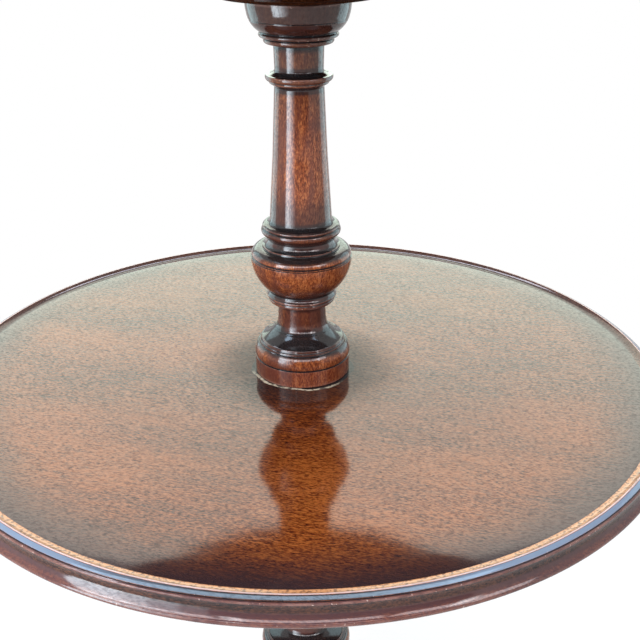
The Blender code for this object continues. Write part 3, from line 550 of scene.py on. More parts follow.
# %% Rows of the stem's turning
STEM_ROWS = (
    # plinth band and the quirk over it
    (1.000, 0.000, 0), (1.000, 0.046, 0), (0.977, 0.047, 0), (0.998, 0.051, 0),
    # rounded shoulder with two incised steps
    (0.935, 0.087, 0.12), (0.915, 0.088, 0), (0.905, 0.093, 0), (0.885, 0.094, 0), (0.862, 0.101, 0),
    (0.838, 0.102, 0),
    # hollow slope into the lower neck
    (0.600, 0.127, -0.05), (0.518, 0.146, -0.10), (0.498, 0.175, -0.03), (0.482, 0.208, 0),
    # bead, quirk and hollow under the bulb
    (0.640, 0.210, 0), (0.680, 0.219, 0.25), (0.670, 0.222, 0), (0.705, 0.224, 0), (0.710, 0.231, 0.20),
    (0.672, 0.243, -0.10),
    # bowl of the bulb, its two steps and the quarter round over it
    (0.690, 0.246, 0), (1.037, 0.338, 0.105), (1.022, 0.339, 0), (1.030, 0.342, 0), (1.008, 0.344, 0),
    (1.020, 0.349, 0), (0.830, 0.368, 0.18),
    (0.795, 0.368, 0),
    # hollow between bulb and collar
    (0.790, 0.373, 0), (0.700, 0.389, -0.15), (0.700, 0.393, 0),
    # collar of two beads, and the foot of the taper
    (0.780, 0.406, -0.08), (0.785, 0.421, 0.22), (0.770, 0.423, 0), (0.765, 0.430, 0.25),
    (0.745, 0.432, 0), (0.630, 0.441, -0.15),
    # long taper
    (0.483, 0.788, -0.005),
    # ring over the taper
    (0.520, 0.797, -0.15), (0.560, 0.800, 0), (0.575, 0.806, 0.20), (0.620, 0.808, 0),
    (0.640, 0.822, 0.20), (0.490, 0.829, -0.12),
    # upper neck
    (0.470, 0.837, -0.10), (0.482, 0.894, 0),
    # two beads with a quirk between them
    (0.620, 0.898, 0), (0.665, 0.909, 0.25), (0.652, 0.911, 0), (0.715, 0.913, 0), (0.748, 0.923, 0.30),
    (0.737, 0.926, 0),
    # cup with one incised line
    (0.925, 0.953, 0.07), (0.920, 0.956, 0), (0.940, 0.957, 0), (0.995, 1.000, 0.04),
)
MM = 0.001
SEAT_GAP = 0.3 * MM
SPINDLE_HOLE_RADIUS = 8.3 * MM
SPINDLE_GRIP = 42.3 * MM
WASHER_SEAT_RADIUS, WASHER_SEAT_DEPTH = 20.3 * MM, 1.2 * MM


def stem_rows(radius, bottom, height):
    return [(out * radius, bottom + up * height, bow) for out, up, bow in STEM_ROWS]


def top_bore(top):
    """The washer's seat and the spindle's hole in a stem's top."""
    seat, floor = top - WASHER_SEAT_DEPTH, top - SPINDLE_GRIP
    rows = [(WASHER_SEAT_RADIUS, top, 0), (WASHER_SEAT_RADIUS, seat, 0), (SPINDLE_HOLE_RADIUS, seat, 0)]
    return rows + [(SPINDLE_HOLE_RADIUS, floor, 0), (0, floor, 0)]


# %% [markdown]
# Shade is painted into the stem's colour: on all of it that faces up, on its undersides, in soft bands at
# these heights, and on its top third and cup, under the boss. Its deep hollows are dark with old polish. The
# Ambient Occlusion node could find the hollows too, but it would darken the stem wherever another piece comes
# near it.

# %% The finish of a stem
SHADED_WOOD = (0.030, 0.010, 0.008)
STAINED_WOOD = (0.075, 0.022, 0.016)
RED_STAIN = (0.095, 0.014, 0.008)
STAINS = (42, 15)
# start, end and softness as shares of the stem's height, and how dark
SHADED_BANDS = {
    "slope over the shoulder": (0.103, 0.140, 0.012, 0.8),
    "lower neck and foot of the bowl": (0.16, 0.285, 0.03, 0.5),
    "collar and foot of the taper": (0.38, 0.56, 0.07, 0.7),
}


def ring(tree, out, start, end, soft, most=1.0):
    """A painted band between two distances, with soft edges."""
    rising, falling = between(tree, out, start, start + soft), between(tree, out, end, end - soft)
    return maths(tree, "MULTIPLY", rising, falling, most)


def facing_up(tree):
    """1 on what faces straight up, 0 on upright sides and -1 on undersides."""
    normal = node(tree, "ShaderNodeNewGeometry").outputs["Normal"]
    return node(tree, "ShaderNodeSeparateXYZ", (0, normal)).outputs["Z"]


def stem_stains_and_shade(bottom, height):
    """The finish of a stem that stands on one height and is so tall."""
    def finish(tree, wood):
        place = object_place(tree)
        up = node(tree, "ShaderNodeSeparateXYZ", (0, place)).outputs["Z"]
        ragged = maths(tree, "ADD", up, maths(tree, "MULTIPLY", noise(tree, place, 45, 3), 0.05 * height))

        def over(value, low, high, most):
            return between(tree, value, bottom + low * height, bottom + high * height, 0, most)

        wood = mixed(tree, over(up, 0.06, 0.04, 0.4), wood, RED_STAIN)
        stains = between(tree, stretched(tree, place, STAINS), 0.45, 0.58, 0, 0.72)
        wood = mixed(tree, stains, wood, STAINED_WOOD)
        # painted shade: the bands, the top under the boss, the cup, the undersides, and all that faces up
        for low, high, soft, most in SHADED_BANDS.values():
            band = ring(tree, ragged, bottom + low * height, bottom + high * height, soft * height, most)
            wood = mixed(tree, band, wood, SHADED_WOOD)
        wood = mixed(tree, over(ragged, 0.66, 0.87, 0.62), wood, SHADED_WOOD)
        wood = mixed(tree, over(up, 0.90, 0.92, 0.75), wood, SHADED_WOOD)
        facing = facing_up(tree)
        wood = mixed(tree, between(tree, facing, -0.25, -0.75, 0, 0.6), wood, SHADED_WOOD)
        return mixed(tree, between(tree, facing, 0.30, 0.72, 0, 0.95), wood, OLD_POLISH_AND_SHADE)
    return finish


# %% [markdown]
# The grain of a spindle runs along it, so the wood's X axis is turned up the stem. A quarter turn
# about Y does it.

# %% Turn the upper stem
UPRIGHT = (0, math.radians(90), 0)
UPPER_STEM_RADIUS = 40 * MM


def stem_wood(name, start, bottom, height):
    return mahogany(name, UPRIGHT, start, STEM_TINT, film_rough=0.11, wear=0.40,
                    finish=stem_stains_and_shade(bottom, height))


upper_low, upper_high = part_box("upper_stem")
upper_height = upper_high.z - upper_low.z
grip_end = upper_low.z + SPINDLE_GRIP
foot_bore = [(0, grip_end, 0), (SPINDLE_HOLE_RADIUS, grip_end, 0), (SPINDLE_HOLE_RADIUS, upper_low.z, 0)]
upper_rows = stem_rows(UPPER_STEM_RADIUS, upper_low.z, upper_height)
upper_outline = filled_in(eased(outline_of(foot_bore + upper_rows + top_bore(upper_high.z))))
upper_stem_wood = stem_wood("upper_stem_mahogany", (0.4, 0.013, 0.02), upper_low.z, upper_height)
upper_stem = turn("upper_stem_turning", upper_outline, upper_stem_wood, cuts=128)
settle(upper_stem, "stand", "mahogany", "upper_stem")
print("upper stem:", triangles(upper_stem), "triangles,", round(upper_height * 1000), "mm tall")

# %% [markdown]
# ## The lower stem and its leg block
# Below the tier the same turning ends in a plain drum, the leg block. The maker cut three
# dovetail slots in it from below, and the legs slide up into them. The drum is part of the same
# outline. The slots and screw holes are cut with a Boolean, and its cutter is thrown away.

# %% Turn the lower stem and cut its slots
LEG_ANGLES = {"back": 90, "right": -30, "left": 210}
BLOCK_RADIUS = 43 * MM
BLOCK_BOTTOM, BLOCK_TOP = 105 * MM, 185 * MM
KEY_DEPTH, KEY_NECK, KEY_BACK = 15 * MM, 10 * MM, 15 * MM
KEY_TOP = 171 * MM
PLATE_BOTTOM, PLATE_TOP = 101.7 * MM, 104.7 * MM
BLOCK_SCREW_CIRCLE, PLATE_SCREW_CIRCLE = 26.66 * MM, 59 * MM
SLOPE = (KEY_BACK - KEY_NECK) / (2 * KEY_DEPTH)
KEY_REACH = 6 * MM
OVERRUN = 2 * MM
BLOCK_SCREW_HOLE_RADIUS, BLOCK_SCREW_HOLE_DEPTH = 2.3 * MM, 15 * MM


def spun(degrees):
    return Matrix.Rotation(math.radians(degrees), 4, "Z")


def prism(mesh, plan, low, high, place=Matrix()):
    """Add an upright prism over a plan of (x, y) points to a bmesh."""
    rings = [[mesh.verts.new(place @ Vector((x, y, z))) for x, y in plan] for z in (low, high)]
    for corner in range(len(plan)):
        after = (corner + 1) % len(plan)
        mesh.faces.new((rings[0][corner], rings[0][after], rings[1][after], rings[1][corner]))
    mesh.faces.new(reversed(rings[0]))
    mesh.faces.new(rings[1])


def key_plan(gap, reach):
    """Plan of a leg's dovetail key, from its wide back out to a reach beyond the drum."""
    neck, back = KEY_NECK / 2 + gap, KEY_BACK / 2 + gap
    mouth = neck - SLOPE * reach
    inner, outer = BLOCK_RADIUS - KEY_DEPTH - gap, BLOCK_RADIUS + reach
    return [(inner, -back), (outer, -mouth), (outer, mouth), (inner, back)]


def circle(radius, sides=24):
    turns = [2 * math.pi * side / sides for side in range(sides)]
    return [(radius * math.cos(angle), radius * math.sin(angle)) for angle in turns]


def rectangle(x_low, x_high, half_width):
    return [(x_low, -half_width), (x_high, -half_width), (x_high, half_width), (x_low, half_width)]


def from_bmesh(name, mesh, finish=None):
    bmesh.ops.recalc_face_normals(mesh, faces=mesh.faces)
    data = bpy.data.meshes.new(name)
    mesh.to_mesh(data)
    mesh.free()
    if finish:
        data.materials.append(finish)
    return link(name, data)


def carve(thing, cutter, operation="DIFFERENCE"):
    """Cut one object with another, or join them, and keep only the result."""
    modifier = thing.modifiers.new("carve", "BOOLEAN")
    modifier.operation, modifier.object, modifier.solver = operation, cutter, "EXACT"
    made_plain(thing)
    bpy.data.objects.remove(cutter)
    return thing


# %% Put the lower stem together
_, lower_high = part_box("lower_stem")
lower_height = lower_high.z - BLOCK_TOP
block_rows = [(0, BLOCK_BOTTOM, 0), (BLOCK_RADIUS, BLOCK_BOTTOM, 0)]
lower_rows = stem_rows(BLOCK_RADIUS, BLOCK_TOP, lower_height)[1:]
lower_outline = filled_in(eased(outline_of(block_rows + lower_rows + top_bore(lower_high.z))))
lower_stem_wood = stem_wood("lower_stem_mahogany", (0.1, 0.15, 0.06), BLOCK_TOP, lower_height)
lower_stem = turn("lower_stem_turning", lower_outline, lower_stem_wood, cuts=96)
slot_cutter = bmesh.new()
for degrees in LEG_ANGLES.values():
    prism(slot_cutter, key_plan(SEAT_GAP, KEY_REACH), BLOCK_BOTTOM - OVERRUN, KEY_TOP + SEAT_GAP,
          spun(degrees))
    hole = spun(degrees + 60) @ Matrix.Translation((BLOCK_SCREW_CIRCLE, 0, 0))
    prism(slot_cutter, circle(BLOCK_SCREW_HOLE_RADIUS), BLOCK_BOTTOM - OVERRUN,
          BLOCK_BOTTOM + BLOCK_SCREW_HOLE_DEPTH, hole)
carve(lower_stem, from_bmesh("slot_cutter", slot_cutter))
settle(lower_stem, "stand", "mahogany", "lower_stem")
print("lower stem:", triangles(lower_stem), "triangles")

# %% [markdown]
# ## The tier boards
# Each tier is one wide board, turned on a faceplate: a flat field, a raised rim like the edge of
# a dish, a fine quirk, a fillet, a cove and a small bead below. The rim takes the light all the
# way round, so its rows are the finest of the table. Distances run in from the board's edge, as
# shares of the rim's width, and heights as shares of its rise, or below the field of the board's
# thickness. The rows run inwards, but the lathe wants them outwards from the underside, so they
# are taken in reverse. A bow belongs to the row where its arc ends, and moves along by one then.

# %% Rows of the rim
RIM_ROWS = (
    (1.000, 0.00, 0), (0.520, 0.90, -0.13), (0.470, 0.915, 0), (0.240, 0.38, 0.04), (0.255, 0.16, 0),
    (0.145, 0.10, 0), (0.135, -0.06, 0), (0.220, -0.09, 0), (0.070, -0.76, -0.14), (0.035, -0.79, 0),
    (0.035, -0.97, 0.18), (0.100, -1.00, 0),
)
RIM_RISE, RIM_WIDTH, BOARD_THICKNESS = 3.4 * MM, 16.5 * MM, 17 * MM
BUSH_HOLE_RADIUS = 10.6 * MM


def board_rows(radius, field, hole):
    """Along the underside, up the rim's outside and back in over the field, round a hole or none."""
    rim = []
    for inward, up, _ in RIM_ROWS:
        height = field + up * (RIM_RISE if up > 0 else BOARD_THICKNESS)
        rim.append((radius - inward * RIM_WIDTH, height))
    bows = [0] + [bow for _, _, bow in RIM_ROWS[:0:-1]]
    rising = [(out, height, bow) for (out, height), bow in zip(reversed(rim), bows)]
    underside = field - BOARD_THICKNESS
    rows = [(hole, underside, 0), *rising, (hole, field, 0)]
    return rows + rows[:1] if hole else rows


# %% [markdown]
# ## Rings of painted shade, sheen and highlight, and wax
# The board's colour is painted in rings. The field is painted dark as shade just inside the rim and round the
# stem, and the rim's outer slope is painted almost black so that it shows only its reflection, while the
# rim's inner face gets a painted sheen and its ridge a painted highlight. These are finishes, not pieces, so
# the board's material paints them: the distance from the axis picks each ring out. Towards the left and
# right, the rim's outer slope gets a bluish painted reflection.

# %% Paint the field and the rim
FIELD_SHADE = (0.020, 0.011, 0.012)
FACE_SHEEN, RIDGE_HIGHLIGHT = (0.60, 0.25, 0.10), (0.72, 0.50, 0.45)
OUTER_EDGE, BACK_FACE = (0.068, 0.033, 0.034), (0.034, 0.015, 0.012)
SLOPE_REFLECTION = (0.14, 0.17, 0.22)
# where each part of the rim starts and ends, outwards from the field
FACE, RIDGE = (0.6 * MM, 8.4 * MM), (7.8 * MM, 9.2 * MM)
SLOPE_OUT, EDGE = (9.2 * MM, 12.8 * MM), (12.4 * MM, 13.0 * MM)
FINE_EDGE, SOFT_EDGE = 0.3 * MM, 0.8 * MM


def round_the_axis(tree):
    """A point's place, and its distance from the axis."""
    place = object_place(tree)
    flat = vector_maths(tree, "MULTIPLY", place, (1, 1, 0))
    return place, node(tree, "ShaderNodeVectorMath", (0, flat), operation="LENGTH").outputs["Value"]


def shaded_field(tree, wood, out, ragged_out, across, field):
    """Painted shade just inside the rim, more of it towards the front."""
    shade = between(tree, ragged_out, field - 42 * MM, field + 16 * MM, 0, 0.95)
    towards_front = between(tree, across, 200 * MM, -60 * MM, 0.55, 1.0)
    inside = between(tree, out, field + 6 * MM, field + 3 * MM)
    return mixed(tree, maths(tree, "MULTIPLY", shade, towards_front, inside), wood, FIELD_SHADE)


def rim_tones_and_painted_light(tree, wood, out, place, cloud, field):
    """Painted sheen on the face, a painted ridge highlight, the dark edge, painted shade and reflection on
    the slope.
    """
    apart = node(tree, "ShaderNodeSeparateXYZ", (0, place)).outputs
    face = ring(tree, out, field + FACE[0], field + FACE[1], SOFT_EDGE)
    wood = mixed(tree, maths(tree, "MULTIPLY", face, 0.8), wood, BACK_FACE)
    # a painted sheen on the rim's face, stronger towards the front
    towards_front = between(tree, apart["Y"], 60 * MM, -190 * MM, 0.0, 0.8)
    specks = between(tree, noise(tree, place, 420, 2), 0.36, 0.54, 0.35, 1.0)
    wood = mixed(tree, maths(tree, "MULTIPLY", face, towards_front, specks), wood, FACE_SHEEN)
    # a painted highlight along the ridge
    ridge = ring(tree, out, field + RIDGE[0], field + RIDGE[1], FINE_EDGE, 0.6)
    wood = mixed(tree, ridge, wood, RIDGE_HIGHLIGHT)
    edge = between(tree, out, field + EDGE[0], field + EDGE[1], 0, 0.72)
    wood = mixed(tree, edge, wood, OUTER_EDGE)
    # the rim's up-facing slope is painted almost black, as shade, so it shows only its reflection
    slope = maths(tree, "MULTIPLY", between(tree, facing_up(tree), 0.45, 0.65),
                  ring(tree, out, field + SLOPE_OUT[0], field + SLOPE_OUT[1], FINE_EDGE, 0.96))
    wood = mixed(tree, slope, wood, OLD_POLISH_AND_SHADE)
    # towards the left and right, a bluish painted reflection on the slope
    off_centre = maths(tree, "ABSOLUTE", maths(tree, "ADD", apart["X"], 20 * MM))
    ragged = maths(tree, "ADD", off_centre, maths(tree, "MULTIPLY", cloud, 80 * MM))
    slope_sheen = between(tree, ragged, 70 * MM, 210 * MM)
    return mixed(tree, maths(tree, "MULTIPLY", slope, slope_sheen), wood, SLOPE_REFLECTION)


# %% [markdown]
# Round the foot of the stem, where no cloth reaches, wax has built up in a thin crust. It is cream in crumbs
# along its front edge and nearly black within. The field close by is painted dark as shade, and its polish is
# smeared, so it shines less too.

# %% Paint the wax and the polish round the stem
WAX_OUTER, WAX_INNER = 45.0 * MM, 42.2 * MM
OLD_WAX, BLACK_WAX = (0.50, 0.42, 0.30), (0.015, 0.012, 0.012)


def crust_of_wax(tree, wood, out, place):
    apart = node(tree, "ShaderNodeSeparateXYZ", (0, place)).outputs
    lumps = maths(tree, "MULTIPLY", noise(tree, place, 150, 5), 2.4 * MM)
    heaps = between(tree, noise(tree, place, 24, 1), 0.38, 0.62, 1.4 * MM, -1.6 * MM)
    ragged = maths(tree, "ADD", out, lumps, heaps)
    leaning = maths(tree, "ADD", apart["Y"], maths(tree, "MULTIPLY", apart["X"], 0.30))
    front = between(tree, leaning, -14 * MM, -36 * MM)
    crumbs = between(tree, noise(tree, place, 210, 5), 0.38, 0.52, 0.15, 1.0)
    outside = between(tree, ragged, WAX_INNER, WAX_INNER + 0.5 * MM)
    crust = mixed(tree, maths(tree, "MULTIPLY", outside, crumbs, front), BLACK_WAX, OLD_WAX)
    covered = between(tree, ragged, WAX_OUTER + FINE_EDGE, WAX_OUTER - FINE_EDGE)
    return mixed(tree, covered, wood, crust)


def smeared_round_stem(tree):
    """How much gloss is left: close round the stem a cloth only smears the polish."""
    place, out = round_the_axis(tree)
    ragged_out = maths(tree, "ADD", out, maths(tree, "MULTIPLY", noise(tree, place, 16, 3), 36 * MM))
    return between(tree, ragged_out, 60 * MM, 120 * MM, 0.55, 1.0)


def rings_of_shade_sheen_and_wax(radius, has_stem):
    field = radius - RIM_WIDTH

    def finish(tree, wood):
        place, out = round_the_axis(tree)
        cloud = noise(tree, place, 16, 3)
        ragged_out = maths(tree, "ADD", out, maths(tree, "MULTIPLY", cloud, 24 * MM))
        across = node(tree, "ShaderNodeSeparateXYZ", (0, place)).outputs["Y"]
        wood = shaded_field(tree, wood, out, ragged_out, across, field)
        wood = rim_tones_and_painted_light(tree, wood, out, place, cloud, field)
        if has_stem:
            # painted shadow round the stem's foot
            near = between(tree, maths(tree, "SUBTRACT", ragged_out, 12 * MM), 96 * MM, 44 * MM, 0, 0.72)
            wood = crust_of_wax(tree, mixed(tree, near, wood, OLD_POLISH_AND_SHADE), out, place)
        return mixed(tree, between(tree, facing_up(tree), -0.2, -0.8, 0, 0.85), wood, SHADED_WOOD)
    return finish


# %% [markdown]
# The lower tier turns on the spindle, so its board has a hole for the bush. The upper tier's
# board is whole, and covers the end of the spindle. The grain of the lower board runs across the
# view and falls a little to the right. The undersides never got the good polish, so those faces
# get a second, duller material.

# %% Turn both boards
LOWER_TIER_RADIUS, UPPER_TIER_RADIUS = 305 * MM, 220 * MM
# how high the bowed crest of the rim comes, as a share of its rise
CREST = 0.96


def board_wood(name, grain_turn, start, radius, has_stem):
    return mahogany(name, (0, 0, math.radians(grain_turn)), start, BOARD_TINT, 0.75, wear=0.4,
                    grain=BOARD_FLECKS, finish=rings_of_shade_sheen_and_wax(radius, has_stem),
                    dulled=smeared_round_stem if has_stem else None)


def board(name, body, hole, finish, cuts):
    low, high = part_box(body + "_board")
    field = high.z - CREST * RIM_RISE
    outline = filled_in(eased(outline_of(board_rows((high.x - low.x) / 2, field, hole))), longest=0.02)
    made = turn(name, outline, finish, cuts)
    made.data.materials.append(underside_wood)
    for face in made.data.polygons:
        if face.normal.z < -0.9 and face.center.z < field - 0.98 * BOARD_THICKNESS:
            face.material_index = len(made.data.materials) - 1
    settle(made, body, "mahogany", body + "_board")
    print(name, triangles(made), "triangles, field at", round(field * 1000, 1), "mm")


lower_board_wood = board_wood("lower_board_mahogany", 15, (0.2, 0.3, 0.017), LOWER_TIER_RADIUS, True)
upper_board_wood = board_wood("upper_board_mahogany", -25, (0.7, 0.1, 0.01), UPPER_TIER_RADIUS, False)
# its tint paints the undersides darker, as shade
underside_wood = mahogany("unpolished_underside", (0, 0, math.radians(15)), (0.2, 0.3, 0.4),
                          UNDERSIDE_SHADE_TINT, patina=0.0, film=0.05, film_rough=0.4, wear=0.0, grain=BOARD_FLECKS)
board("lower_board_turning", "lower_tier", BUSH_HOLE_RADIUS, lower_board_wood, cuts=256)
board("upper_board_turning", "upper_tier", 0, upper_board_wood, cuts=192)

# %% [markdown]
# ## The bosses
# Under each board sits a thick turned disc, the boss, which stiffens the board and turns on the
# stem. Its underside rises slightly towards the edge. Four screws go up through it, with their
# heads sunk well in, and the upper one has a pocket in its top for the spindle's nut.

# %% Turn the bosses
BOSS_RADIUS, BOSS_THICKNESS = 63 * MM, 26 * MM
BOSS_ROWS = ((0.690, 0.000, 0), (0.945, 0.095, 0.02), (1.000, 0.180, 0.20), (1.000, 0.840, 0),
             (0.965, 1.000, 0.20))
NUT_POCKET_RADIUS = {"upper_tier": 18.5 * MM}
POCKET_DEPTH = 12.0 * MM
SCREW_SINK = 3 * MM
SCREW_CIRCLE = 53 * MM
HEAD_RADIUS, HEAD_DEPTH, SHANK_RADIUS = 4 * MM, 1.08 * MM, 2.2 * MM


def boss_rows(bottom, pocket):
    top = bottom + BOSS_THICKNESS
    rows = [(BUSH_HOLE_RADIUS, bottom, 0)]
    rows += [(out * BOSS_RADIUS, bottom + up * BOSS_THICKNESS, bow) for out, up, bow in BOSS_ROWS]
    if pocket:
        floor = top - POCKET_DEPTH
        rows += [(pocket, top, 0), (pocket, floor, 0), (BUSH_HOLE_RADIUS, floor, 0)]
    else:
        rows += [(BUSH_HOLE_RADIUS, top, 0)]
    return rows + [(BUSH_HOLE_RADIUS, bottom, 0)]


def screw_spots(circle_radius, height, count=4):
    """Places of screws that point up, evenly round the axis, half a step off the X axis."""
    turns = [2 * math.pi * (number + 1 / 2) / count for number in range(count)]
    return [Vector((circle_radius * math.cos(a), circle_radius * math.sin(a), height)) for a in turns]


def screw_holes(spots):
    cutter = bmesh.new()
    for spot in spots:
        place = Matrix.Translation(spot)
        prism(cutter, circle(HEAD_RADIUS + SEAT_GAP), -5 * MM, HEAD_DEPTH, place)
        prism(cutter, circle(SHANK_RADIUS + SEAT_GAP), HEAD_DEPTH - SEAT_GAP, 30 * MM, place)
    return from_bmesh("screw_hole_cutter", cutter)


def boss(body):
    low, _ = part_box(body + "_boss")
    # the boss's tint paints it almost black, as the shade under its board
    finish = mahogany(body + "_boss_mahogany", (0, 0, math.radians(35)), (0.9, low.z, 0.2), BOSS_SHADE_TINT,
                      film=0.15, wear=0.05)
    outline = filled_in(eased(outline_of(boss_rows(low.z, NUT_POCKET_RADIUS.get(body)))), longest=0.004)
    made = turn(body + "_boss_turning", outline, finish, cuts=96)
    spots = screw_spots(SCREW_CIRCLE, low.z + SCREW_SINK)
    carve(made, screw_holes(spots))
    settle(made, body, "mahogany", body + "_boss")
    print(made.name, triangles(made), "triangles")
    return spots


boss_spots = {body: boss(body) for body in ("lower_tier", "upper_tier")}

# %% [markdown]
# ## Screws in their holes
# A hand-filed screw never stops with its slot at the same angle as the next. One pattern screw is
# turned and slotted, and a Geometry Nodes tree sets a copy at every point it is given, turned by a
# random angle with a fixed seed. Copying by hand would work for four, but not for the next table.

# %% Make the pattern screw
SLOT_DEPTH = 0.55 * MM


def pattern_screw(name, head, head_depth, shank, length, finish, domed=0.0):
    """A screw that points up, with its head's face at height zero, and a slot across it."""
    rows = [(0, -domed, 0), (head, 0, 0.12 if domed else 0)]
    rows += [(shank, head_depth, 0), (shank, 0.8 * length, 0), (0, length, 0)]
    made = turn(name, eased(outline_of(rows), reach=0.15 * MM), finish, cuts=32)
    slot = bmesh.new()
    prism(slot, rectangle(-2 * head, 2 * head, head / 9), -domed - 1 * MM, SLOT_DEPTH - domed)
    return carve(made, from_bmesh("slot", slot))


# %% Build the tree that sets screws
def screw_tree():
    tree = bpy.data.node_groups.new("screws_in_their_holes", "GeometryNodeTree")
    kinds = {"Holes": "Geometry", "Screw": "Object", "Seed": "Int", "Finish": "Material"}
    for name, kind in kinds.items():
        tree.interface.new_socket(name, in_out="INPUT", socket_type="NodeSocket" + kind)
    tree.interface.new_socket("Screws", in_out="OUTPUT", socket_type="NodeSocketGeometry")
    given = node(tree, "NodeGroupInput").outputs
    pattern = node(tree, "GeometryNodeObjectInfo", ("Object", given["Screw"])).outputs["Geometry"]
    angle = node(tree, "FunctionNodeRandomValue", ("Seed", given["Seed"]), data_type="FLOAT")
    # of its many inputs, number 3 is the largest decimal number that it may draw
    angle.inputs[3].default_value = math.pi
    about_z = node(tree, "ShaderNodeCombineXYZ", ("Z", angle.outputs[1])).outputs[0]
    set_in = node(tree, "GeometryNodeInstanceOnPoints", ("Points", given["Holes"]), ("Instance", pattern),
                  ("Rotation", about_z)).outputs[0]
    real = node(tree, "GeometryNodeRealizeInstances", ("Geometry", set_in)).outputs[0]
    finished = node(tree, "GeometryNodeSetMaterial", ("Geometry", real), ("Material", given["Finish"]))
    node(tree, "NodeGroupOutput", ("Screws", finished.outputs[0]))
    return tree


SCREWS = screw_tree()


def set_screws(name, spots, pattern, body, finish, slot, nodes, seed):
    mesh = bpy.data.meshes.new(name)
    mesh.from_pydata([tuple(spot) for spot in spots], [], [])
    made = run_tree(link(name, mesh), SCREWS, screw=pattern, seed=seed, finish=finish)
    settle(made, body, slot, *nodes)
    print(name, len(spots), "screws,", triangles(made), "triangles")


# %% Set the screws of the bosses and the plate
boss_screw = pattern_screw("boss_screw", HEAD_RADIUS, HEAD_DEPTH, SHANK_RADIUS, 33 * MM, IRON)
for seed, (body, spots) in enumerate(boss_spots.items()):
    boss_nodes = [f"{body}_boss_screw_{number}" for number in (1, 2, 3, 4)]
    set_screws(body + "_boss_screws", spots, boss_screw, body, IRON, "iron", boss_nodes, seed)
plate_screw = pattern_screw("plate_screw", 4 * MM, 1.2 * MM, 2 * MM, 19 * MM, IRON)
plate_spots, plate_nodes = [], []
for name, degrees in LEG_ANGLES.items():
    plate_spots.append(spun(degrees) @ Vector((PLATE_SCREW_CIRCLE, 0, PLATE_BOTTOM)))
    plate_spots.append(spun(degrees + 60) @ Vector((BLOCK_SCREW_CIRCLE, 0, PLATE_BOTTOM)))
    plate_nodes += ["leg_plate_screw_" + name, "block_screw_" + name]
set_screws("leg_plate_screws", plate_spots, plate_screw, "stand", IRON, "iron", plate_nodes, 7)
for pattern in (boss_screw, plate_screw):
    bpy.data.objects.remove(pattern)

# %% [markdown]
# The caps' screws point down instead, so their pattern is the same screw with its mesh turned
# over. Turning a mesh by a half turn keeps its faces pointing out, while a mirror would not.

# %% Set the screws in the castor caps
CASTOR_CIRCLE = 264 * MM
CAP_TOP = 64.4 * MM
CAP_SCREW_SEAT = CAP_TOP + 0.7 * MM
cap_screw = pattern_screw("cap_screw", 3.2 * MM, 0.4 * MM, 1.6 * MM, 11.4 * MM, BRASS, domed=1.1 * MM)
cap_screw.data.transform(Matrix.Rotation(math.pi, 4, "X"))
cap_spots = [spun(degrees) @ Vector((CASTOR_CIRCLE, 0, CAP_SCREW_SEAT)) for degrees in LEG_ANGLES.values()]
cap_nodes = ["castor_cap_screw_" + name for name in LEG_ANGLES]
set_screws("castor_cap_screws", cap_spots, cap_screw, "stand", BRASS, "brass", cap_nodes, 3)
bpy.data.objects.remove(cap_screw)

# %% [markdown]
# ## The legs
# Each leg sweeps down from the block to a castor. It is sawn from a plank, so its sides are flat
# and its top edge is rounded over with a spokeshave. We draw its cross section at many stations
# along the sweep and join them up, which is called lofting. The leg's top and lower edges follow
# half a cosine wave, so they leave the block level and reach the castor level.

# %% Sections of a leg
LEG_SIDE = ((0.96, 0.0), (1.00, 0.02), (1.00, 0.40), (1.00, 0.66), (0.985, 0.78), (0.93, 0.88),
            (0.83, 0.945), (0.70, 0.982), (0.50, 0.998), (0.20, 1.00))
ROOT_TOP, TOE_BOTTOM, TOE_TOP = 179 * MM, 40.6 * MM, 62.6 * MM
TOE_START, TOE_END = 243.5 * MM, 281.2 * MM
ROOT_WIDTH, TOE_WIDTH = 30 * MM, 22 * MM
LEG_RUN = TOE_START - BLOCK_RADIUS
LEVEL_SHARE = 44 * MM / LEG_RUN
CREST_POWER = 1.2
STATIONS = 44
START_SHARE = 0.85


def over_toe(share, level, power=1.0):
    """How far an edge is above the toe, from 1 at the block to 0 at the toe's start."""
    if share <= level:
        return 1
    along = min((share - level) / (1 - level), 1)
    return (1 + math.cos(math.pi * along**power)) / 2


def leg_section(x, share):
    top = TOE_TOP + (ROOT_TOP - TOE_TOP) * over_toe(share, 0, CREST_POWER)
    low = TOE_BOTTOM + (BLOCK_BOTTOM - TOE_BOTTOM) * over_toe(share, LEVEL_SHARE)
    half = (ROOT_WIDTH + (TOE_WIDTH - ROOT_WIDTH) * min(share, 1)) / 2
    side = [(x, out * half, low + up * (top - low)) for out, up in LEG_SIDE]
    return side + [(x, -y, z) for _, y, z in reversed(side)]


# %% Loft, cope and key the legs
def loft(mesh, sections):
    rings = [[mesh.verts.new(point) for point in section] for section in sections]
    for lower, upper in zip(rings, rings[1:]):
        for corner in range(len(lower)):
            after = (corner + 1) % len(lower)
            mesh.faces.new((lower[corner], lower[after], upper[after], upper[corner]))
    mesh.faces.new(rings[0])
    mesh.faces.new(rings[-1])


